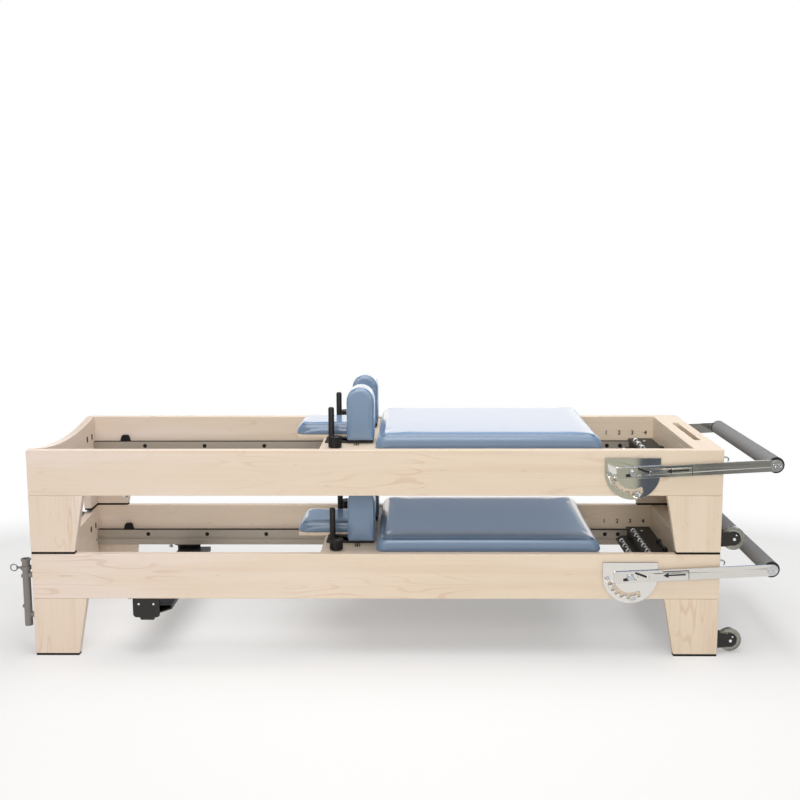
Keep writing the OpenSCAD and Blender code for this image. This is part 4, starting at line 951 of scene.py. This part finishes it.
def blend(tree, amount, first, second):  # two colours, each a code, three numbers or another node's output
    firstColour, secondColour = 6, 7  # the colour sockets of a Mix node
    mix = addNode(tree, "Mix", {"data_type": "RGBA"}, {"Factor": amount})
    for socket, colour in ((firstColour, first), (secondColour, second)):
        if isinstance(colour, bpy.types.NodeSocket):
            tree.links.new(colour, mix.inputs[socket])
        else:
            mix.inputs[socket].default_value = toLinear(colour) if isinstance(colour, str) else (*colour, 1)
    return mix.outputs[2]


def startMaterial(name, values):
    material = bpy.data.materials.new(name)
    material.use_nodes = True
    tree = material.node_tree
    shader = tree.nodes["Principled BSDF"]
    for key, value in values.items():
        shader.inputs[key].default_value = value
    where = addNode(tree, "TexCoord").outputs["Object"]
    return material, tree, shader, where


def dress(tree, shader, colour, rough, height, strength, distance, invert=False):
    relief = addNode(tree, "Bump", {"invert": invert}, {"Height": height},
                     {"Strength": strength, "Distance": distance})
    for key, source in (("Base Color", colour), ("Roughness", rough), ("Normal", relief.outputs["Normal"])):
        tree.links.new(source, shader.inputs[key])


# Satin lacquered maple: pale, with soft wide figure, short brown flecks along the grain and pink heartwood
# streaks. A grain is its width and length in mm, its detail and its offset, a range where its noise shows
maple = {"pale": "#EBDACF", "light": "#E8D6BF", "dark": "#E3CFB6", "streak": "#DCC1A6", "fleck": "#AA845E",
         "loop": "#D2AE92", "toneFrom": -1.25, "toneTo": 0.15, "figure": (100, 800, 2, 3), "figureRings": 14,
         "figureDepth": 0.6, "streaks": (38, 1400, 3, 11), "streakRange": (0.54, 0.76, (0, 0.5)),
         "loops": (55, 380, 1, 29), "loopRings": 40, "loopRange": (0.75, 0.98, (0, 0.42)),
         "patches": (150, 420, 1, 37), "patchRange": (0.5, 0.66), "flecks": (4.5, 48, 2, 5),
         "fleckRange": (0.67, 0.77, (0, 0.55)), "lines": (1.8, 420, 4, 17),
         "lineRange": (0.42, 0.75, (0, 0.12)), "rough": (0.36, 0.5), "relief": (0.25, 0.0002)}


def makeMaple(name, along):
    settings = {"IOR": 1.5, "Coat Weight": 0.15, "Coat Roughness": 0.25}
    material, tree, shader, where = startMaterial(name, settings)

    def grain(width, reach, detail, offset):
        scale = [1000 / width] * 3
        scale[along] = 1000 / reach
        turned = addNode(tree, "Mapping", links={"Vector": where},
                         values={"Scale": scale, "Location": (offset, offset * 1.7, offset * 0.6)})
        noise = addNode(tree, "TexNoise", links={"Vector": turned.outputs["Vector"]},
                        values={"Scale": 1, "Detail": detail, "Roughness": 0.55})
        return noise.outputs["Fac"]

    ends = addNode(tree, "SeparateXYZ", links={0: where}).outputs["X"]
    colour = blend(tree, remap(tree, ends, maple["toneFrom"], maple["toneTo"]), maple["pale"], maple["light"])
    figure = calculate(tree, "MULTIPLY", grain(*maple["figure"]), maple["figureRings"])
    figure = remap(tree, calculate(tree, "SINE", figure), -1, 1, (0, maple["figureDepth"]))
    colour = blend(tree, figure, colour, maple["dark"])
    streaks = remap(tree, grain(*maple["streaks"]), *maple["streakRange"])
    colour = blend(tree, streaks, colour, maple["streak"])
    loops = calculate(tree, "MULTIPLY", grain(*maple["loops"]), maple["loopRings"])
    loops = remap(tree, calculate(tree, "SINE", loops), *maple["loopRange"])
    patches = remap(tree, grain(*maple["patches"]), *maple["patchRange"])
    colour = blend(tree, calculate(tree, "MULTIPLY", loops, patches), colour, maple["loop"])
    flecks = remap(tree, grain(*maple["flecks"]), *maple["fleckRange"])
    lines = grain(*maple["lines"])
    marked = calculate(tree, "MAXIMUM", flecks, remap(tree, lines, *maple["lineRange"]))
    colour = blend(tree, marked, colour, maple["fleck"])
    rough = remap(tree, lines, 0, 1, maple["rough"])
    dress(tree, shader, colour, rough, marked, *maple["relief"], invert=True)
    return material


# Embossed upholstery vinyl: a fine pebble grain with a soft sheen over a blue grey cloth backing, and painted
# shade darkening the seam grooves
vinyl = {"colour": "#7B92AD", "deep": "#748BA7", "seam": "#34465D", "pebble": 1.3, "mottle": 60,
         "sewn": (0.2, 1, (0, 0.85)), "rough": (0.3, 0.46), "relief": (0.12, 0.0003)}


def makeVinyl():
    material, tree, shader, where = startMaterial("embossedVinyl", {
        "IOR": 1.5, "Coat Weight": 0.7, "Coat Roughness": 0.09, "Sheen Weight": 0.3,
        "Sheen Tint": (0.45, 0.68, 1, 1)})
    pebble = addNode(tree, "TexVoronoi", {"feature": "SMOOTH_F1"}, {"Vector": where},
                     {"Scale": 1000 / vinyl["pebble"], "Smoothness": 0.6}).outputs["Distance"]
    mottle = addNode(tree, "TexNoise", links={"Vector": where},
                     values={"Scale": 1000 / vinyl["mottle"], "Detail": 3}).outputs["Fac"]
    mark = addNode(tree, "Attribute", {"attribute_name": "seam"}).outputs["Fac"]
    colour = blend(tree, mottle, vinyl["deep"], vinyl["colour"])
    # painted shade: the seam colour darkens the vinyl along the sewn grooves
    colour = blend(tree, remap(tree, mark, *vinyl["sewn"]), colour, vinyl["seam"])
    dress(tree, shader, colour, remap(tree, pebble, 0, 1, vinyl["rough"]), pebble, *vinyl["relief"])
    return material


# Every other finish: two shades, the grain size in mm that mixes them, its stretch, roughness from and to,
# bump. Moulded rubber is dull and nearly black. Polished stainless mirrors the studio, with fine lines along
# the bars. Zinc and nickel plating are bright but soft, and turned stainless is darker. Powder coat is matt
# with a fine grain. Anodised aluminium is a dull warm grey. Foam is matt and even. Nylon is black and a
# little waxy. Clear polyurethane lets light into the transport wheels. The polished plate is mirror bright
# with its sawn edges painted dark, partly for the darker sawn steel and partly as painted shade along the
# slots; the dark running band is painted shade for the shade line on top of the track, and the ink is flat
plain = (1, 1, 1)
metal, dull, waxy = {"Metallic": 1}, {"Specular IOR Level": 0.15}, {"Specular IOR Level": 0.35}
finishes = {
    "rubber": ("mouldedRubber", "#181716", "#201F1D", 0.8, plain, 0.62, 0.78, 0.2, dull),
    "polished_steel": ("polishedStainless", "#DDDAD5", "#CECBC6", 0.5, (0.02, 1, 1), 0.05, 0.14, 0.015,
                       metal),
    "bright_steel": ("zincPlatedSteel", "#CFD1D2", "#B9BCBE", 1.2, plain, 0.16, 0.32, 0.03, metal),
    "black_steel": ("powderCoatedSteel", "#211F1E", "#2A2725", 0.9, plain, 0.38, 0.54, 0.15, waxy),
    "grey_steel": ("greyPowderCoat", "#7E7974", "#8A8580", 0.9, plain, 0.36, 0.5, 0.15, {}),
    "aluminium": ("anodisedAluminium", "#A2978A", "#AEA497", 0.7, (0.01, 1, 1), 0.34, 0.48, 0.04,
                  {"Metallic": 0.35}),
    "grey_foam": ("closedCellFoam", "#7C7C7D", "#8F8F90", 0.9, plain, 0.8, 0.95, 0.6, {}),
    "black_plastic": ("mouldedNylon", "#1B1A1A", "#242222", 0.6, plain, 0.32, 0.46, 0.1, waxy),
    "grey_wheel": ("clearPolyurethane", "#A3A398", "#B4B4A9", 6, plain, 0.12, 0.22, 0.05,
                   {"Transmission Weight": 0.65, "IOR": 1.49}),
    "roller": ("blackPolyurethane", "#242424", "#303030", 2, plain, 0.3, 0.45, 0.05, {}),
    "wheelHub": ("glassFilledNylon", "#262524", "#33312F", 0.6, plain, 0.4, 0.55, 0.1, {}),
    "plateSteel": ("polishedPlate", "#E2DFDA", "#D6D3CE", 0.5, (0.02, 1, 1), 0.02, 0.09, 0.01, metal),
    "brightBolt": ("nickelPlatedSteel", "#F1F2F2", "#E2E4E5", 1.2, plain, 0.3, 0.42, 0.03, {"Metallic": 0.7}),
    "pinSteel": ("turnedStainless", "#8F9193", "#7C7E80", 0.8, plain, 0.2, 0.34, 0.03, metal),
    # painted shade: the dark running band stands for the shade line on top of the track
    "runningBand": ("wornRunningBand", "#1C1917", "#2A2623", 3, (0.1, 1, 1), 0.5, 0.65, 0.05, dull),
    "printedInk": ("printedInk", "#211D1A", "#3A332D", 0.5, plain, 0.5, 0.65, 0.05, {}),
}
# partly painted shade: the dark colour of the plate's cut edges, which also stands for the shade along its
# slots
sawnEdgeAndShade = "#4A463F"


def makeFinish(name, light, dark, grit, stretch, smooth, rough, bump, values):
    material, tree, shader, where = startMaterial(name, values)
    mapped = addNode(tree, "Mapping", links={"Vector": where}, values={"Scale": stretch})
    noise = addNode(tree, "TexNoise", links={"Vector": mapped.outputs["Vector"]},
                    values={"Scale": 1000 / grit, "Detail": 3, "Roughness": 0.6}).outputs["Fac"]
    colour = blend(tree, noise, light, dark)
    if name == "polishedPlate":  # the sawn edges of the plate are painted dark and dull, partly for the darker sawn steel and partly as painted shade along the slot edges
        normal = addNode(tree, "SeparateXYZ", links={0: addNode(tree, "TexCoord").outputs["Normal"]})
        flat = calculate(tree, "ABSOLUTE", normal.outputs["Y"])
        colour = blend(tree, remap(tree, flat, 0.2, 0.6, (1, 0)), colour, sawnEdgeAndShade)
    dress(tree, shader, colour, remap(tree, noise, 0.3, 0.7, (smooth, rough)), noise, bump, 0.0003)
    return material


materials = {"vinyl": makeVinyl()}
for axis, word in enumerate(("Along", "Across", "Upright")):
    materials["maple" + word] = makeMaple("lacqueredMaple" + word, axis)
for key, values in finishes.items():
    materials[key] = makeFinish(*values)
print("materials made:", len(materials))

for piece, body, nodes, slot, finish in placed:
    piece.data.materials.clear()
    piece.data.materials.append(materials[finish])
    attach(piece, body)
    if nodes:
        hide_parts(*nodes)
for level in ("lower_", "upper_"):
    for node, finish in (("tracks", "aluminium"), ("foot_pads", "rubber")):
        for held in frame["nodes"][level + node].material_slots:
            held.material = materials[finish]
print("pieces placed:", len(placed))

# Floor, light and camera
studio = {"floor": "#F2F1F0", "floorSize": 60, "squeeze": 0.62, "fadeFrom": 1.25, "fadeTo": 1.95, "lift": 0.3,
          "behind": (-1.7, -2.2), "ambient": 0.3, "lean": 0.21, "skyFrom": 0.19, "skyTo": 0.245,
          "sheen": (2.25, 2.05, 1.84), "ceiling": (0.24, 0.42, 0.7), "zenith": (0.16, 0.17, 0.18),
          "zenithFrom": 0.34, "zenithTo": 0.5, "wings": (0.3, 0.38, 0.48), "wingsFrom": 0.4, "wingsTo": 0.65,
          "keyAim": (0, 0, 0.4), "keyPower": 259, "keySize": 4.5, "keyFrom": (-0.8, -7.5, 4),
          "topPower": 128, "topSize": 3.6, "topFrom": (0.2, -0.2, 4)}
# painted reflection: bands of tone that the floor shows only in reflections, such as in the polished plates
paintedReflectionBands = ((0.5, "#BDBDAC"), (0.752, "#C6C7B6"), (0.762, "#5C636E"), (0.9, "#5E646E"), (0.98, "#A4A79A"),
            (1.1, "#8F9386"), (1.16, "#6C6C6C"), (1.3, "#8A8A88"), (1.6, "#9A9A98"))
view = {"from": (1332.73, -3768.25, 1435.69), "yaw": -0.0122, "pitch": 0.1343, "roll": -0.003, "lens": 47.03,
        "shiftX": -0.0119, "shiftY": -0.0309}


def seenRays(tree):  # 1 where the camera, a reflection or a view through glass looks, 0 for the light itself
    rays = addNode(tree, "LightPath").outputs
    seen = calculate(tree, "MAXIMUM", rays["Is Camera Ray"], rays["Is Glossy Ray"])
    return rays["Is Glossy Ray"], calculate(tree, "MAXIMUM", seen, rays["Is Transmission Ray"])


def makePaintedReflection(tree, where):  # a painted reflection: the tones of a studio behind the camera, from left to right, shown by the floor in front of the object to mirrored rays only
    split = addNode(tree, "SeparateXYZ", links={0: where})
    behind = remap(tree, split.outputs["Y"], *studio["behind"])
    first, last = paintedReflectionBands[0][0], paintedReflectionBands[-1][0]
    leaning = calculate(tree, "MULTIPLY_ADD", split.outputs["Y"], studio["lean"], split.outputs["X"])
    wall = addNode(tree, "ValToRGB", links={"Fac": remap(tree, leaning, first, last)})
    elements = wall.color_ramp.elements
    elements[0].color, elements[1].color = toLinear(paintedReflectionBands[0][1]), toLinear(paintedReflectionBands[-1][1])
    for x, code in paintedReflectionBands[1:-1]:
        elements.new((x - first) / (last - first)).color = toLinear(code)
    return behind, wall.outputs["Color"]


def makeFloor():  # keeps the shadow near the object and turns white further out, and in front of the object shows mirrored rays a painted reflection of a studio wall
    bpy.ops.mesh.primitive_plane_add(size=studio["floorSize"])
    floor = bpy.context.object
    floor.name = "floor"
    material, tree, shader, where = startMaterial("mattWhiteFloor", {"Roughness": 0.8})
    shader.inputs["Base Color"].default_value = toLinear(studio["floor"])
    squeezed = addNode(tree, "Mapping", links={"Vector": where}, values={"Scale": (studio["squeeze"], 1, 1)})
    away = addNode(tree, "VectorMath", {"operation": "LENGTH"}, {0: squeezed.outputs["Vector"]})
    fade = remap(tree, away.outputs["Value"], studio["fadeFrom"], studio["fadeTo"], kind="SMOOTHSTEP")
    mirrored, seen = seenRays(tree)
    amount = calculate(tree, "MULTIPLY", calculate(tree, "MAXIMUM", fade, studio["lift"]), seen)
    # painted reflection: mirrored rays that hit the floor in front of the object see the wall bands
    behind, wall = makePaintedReflection(tree, where)
    shade = blend(tree, calculate(tree, "MULTIPLY", behind, mirrored), (1, 1, 1), wall)
    glow = addNode(tree, "Emission", links={"Color": shade})
    mixed = addNode(tree, "MixShader", links={0: amount, 1: shader.outputs[0], 2: glow.outputs[0]})
    tree.links.new(mixed.outputs[0], tree.nodes["Material Output"].inputs["Surface"])
    floor.data.materials.append(material)


def makeWorld():  # white where it is seen, white at the horizon and dark overhead where it is mirrored
    world = bpy.data.worlds.new("studio")
    bpy.context.scene.world = world
    world.use_nodes = True
    tree = world.node_tree
    mirrored, seen = seenRays(tree)
    split = addNode(tree, "SeparateXYZ", links={0: addNode(tree, "TexCoord").outputs["Generated"]}).outputs
    sky = studio["sheen"]
    for height, word, colour in ((split["Z"], "sky", "ceiling"), (split["Z"], "zenith", "zenith"),
                                 (calculate(tree, "ABSOLUTE", split["X"]), "wings", "wings")):
        amount = remap(tree, height, studio[word + "From"], studio[word + "To"], kind="SMOOTHSTEP")
        sky = blend(tree, amount, sky, studio[colour])
    reflected = blend(tree, mirrored, (1, 1, 1), sky)
    light = blend(tree, seen, (studio["ambient"],) * 3, reflected)
    tree.links.new(light, tree.nodes["Background"].inputs["Color"])


def makeLamp(name, start, size, power):
    bpy.ops.object.light_add(type="AREA", location=start)
    lamp = bpy.context.object
    lamp.name = name
    lamp.data.size = size
    lamp.data.energy = power
    lamp.rotation_euler = (Vector(studio["keyAim"]) - lamp.location).to_track_quat("-Z", "Y").to_euler()


def makeCamera():
    yaw, pitch, roll = view["yaw"], view["pitch"], view["roll"]
    ahead = Vector((math.sin(yaw) * math.cos(pitch), math.cos(yaw) * math.cos(pitch), -math.sin(pitch)))
    side = Vector((math.cos(yaw), -math.sin(yaw), 0))
    up = side.cross(ahead)
    right = side * math.cos(roll) + up * math.sin(roll)
    axes = Matrix((right, up * math.cos(roll) - side * math.sin(roll), -ahead))
    bpy.ops.object.camera_add(location=place(*view["from"]), rotation=axes.transposed().to_euler())
    camera = bpy.context.object
    camera.data.lens = view["lens"]
    camera.data.shift_x = view["shiftX"]
    camera.data.shift_y = view["shiftY"]
    bpy.context.scene.camera = camera


makeFloor()
makeWorld()
makeLamp("softbox", studio["keyFrom"], studio["keySize"], studio["keyPower"])
makeLamp("overhead", studio["topFrom"], studio["topSize"], studio["topPower"])
makeCamera()
bpy.context.scene.view_settings.view_transform = "Standard"
print("scene made")
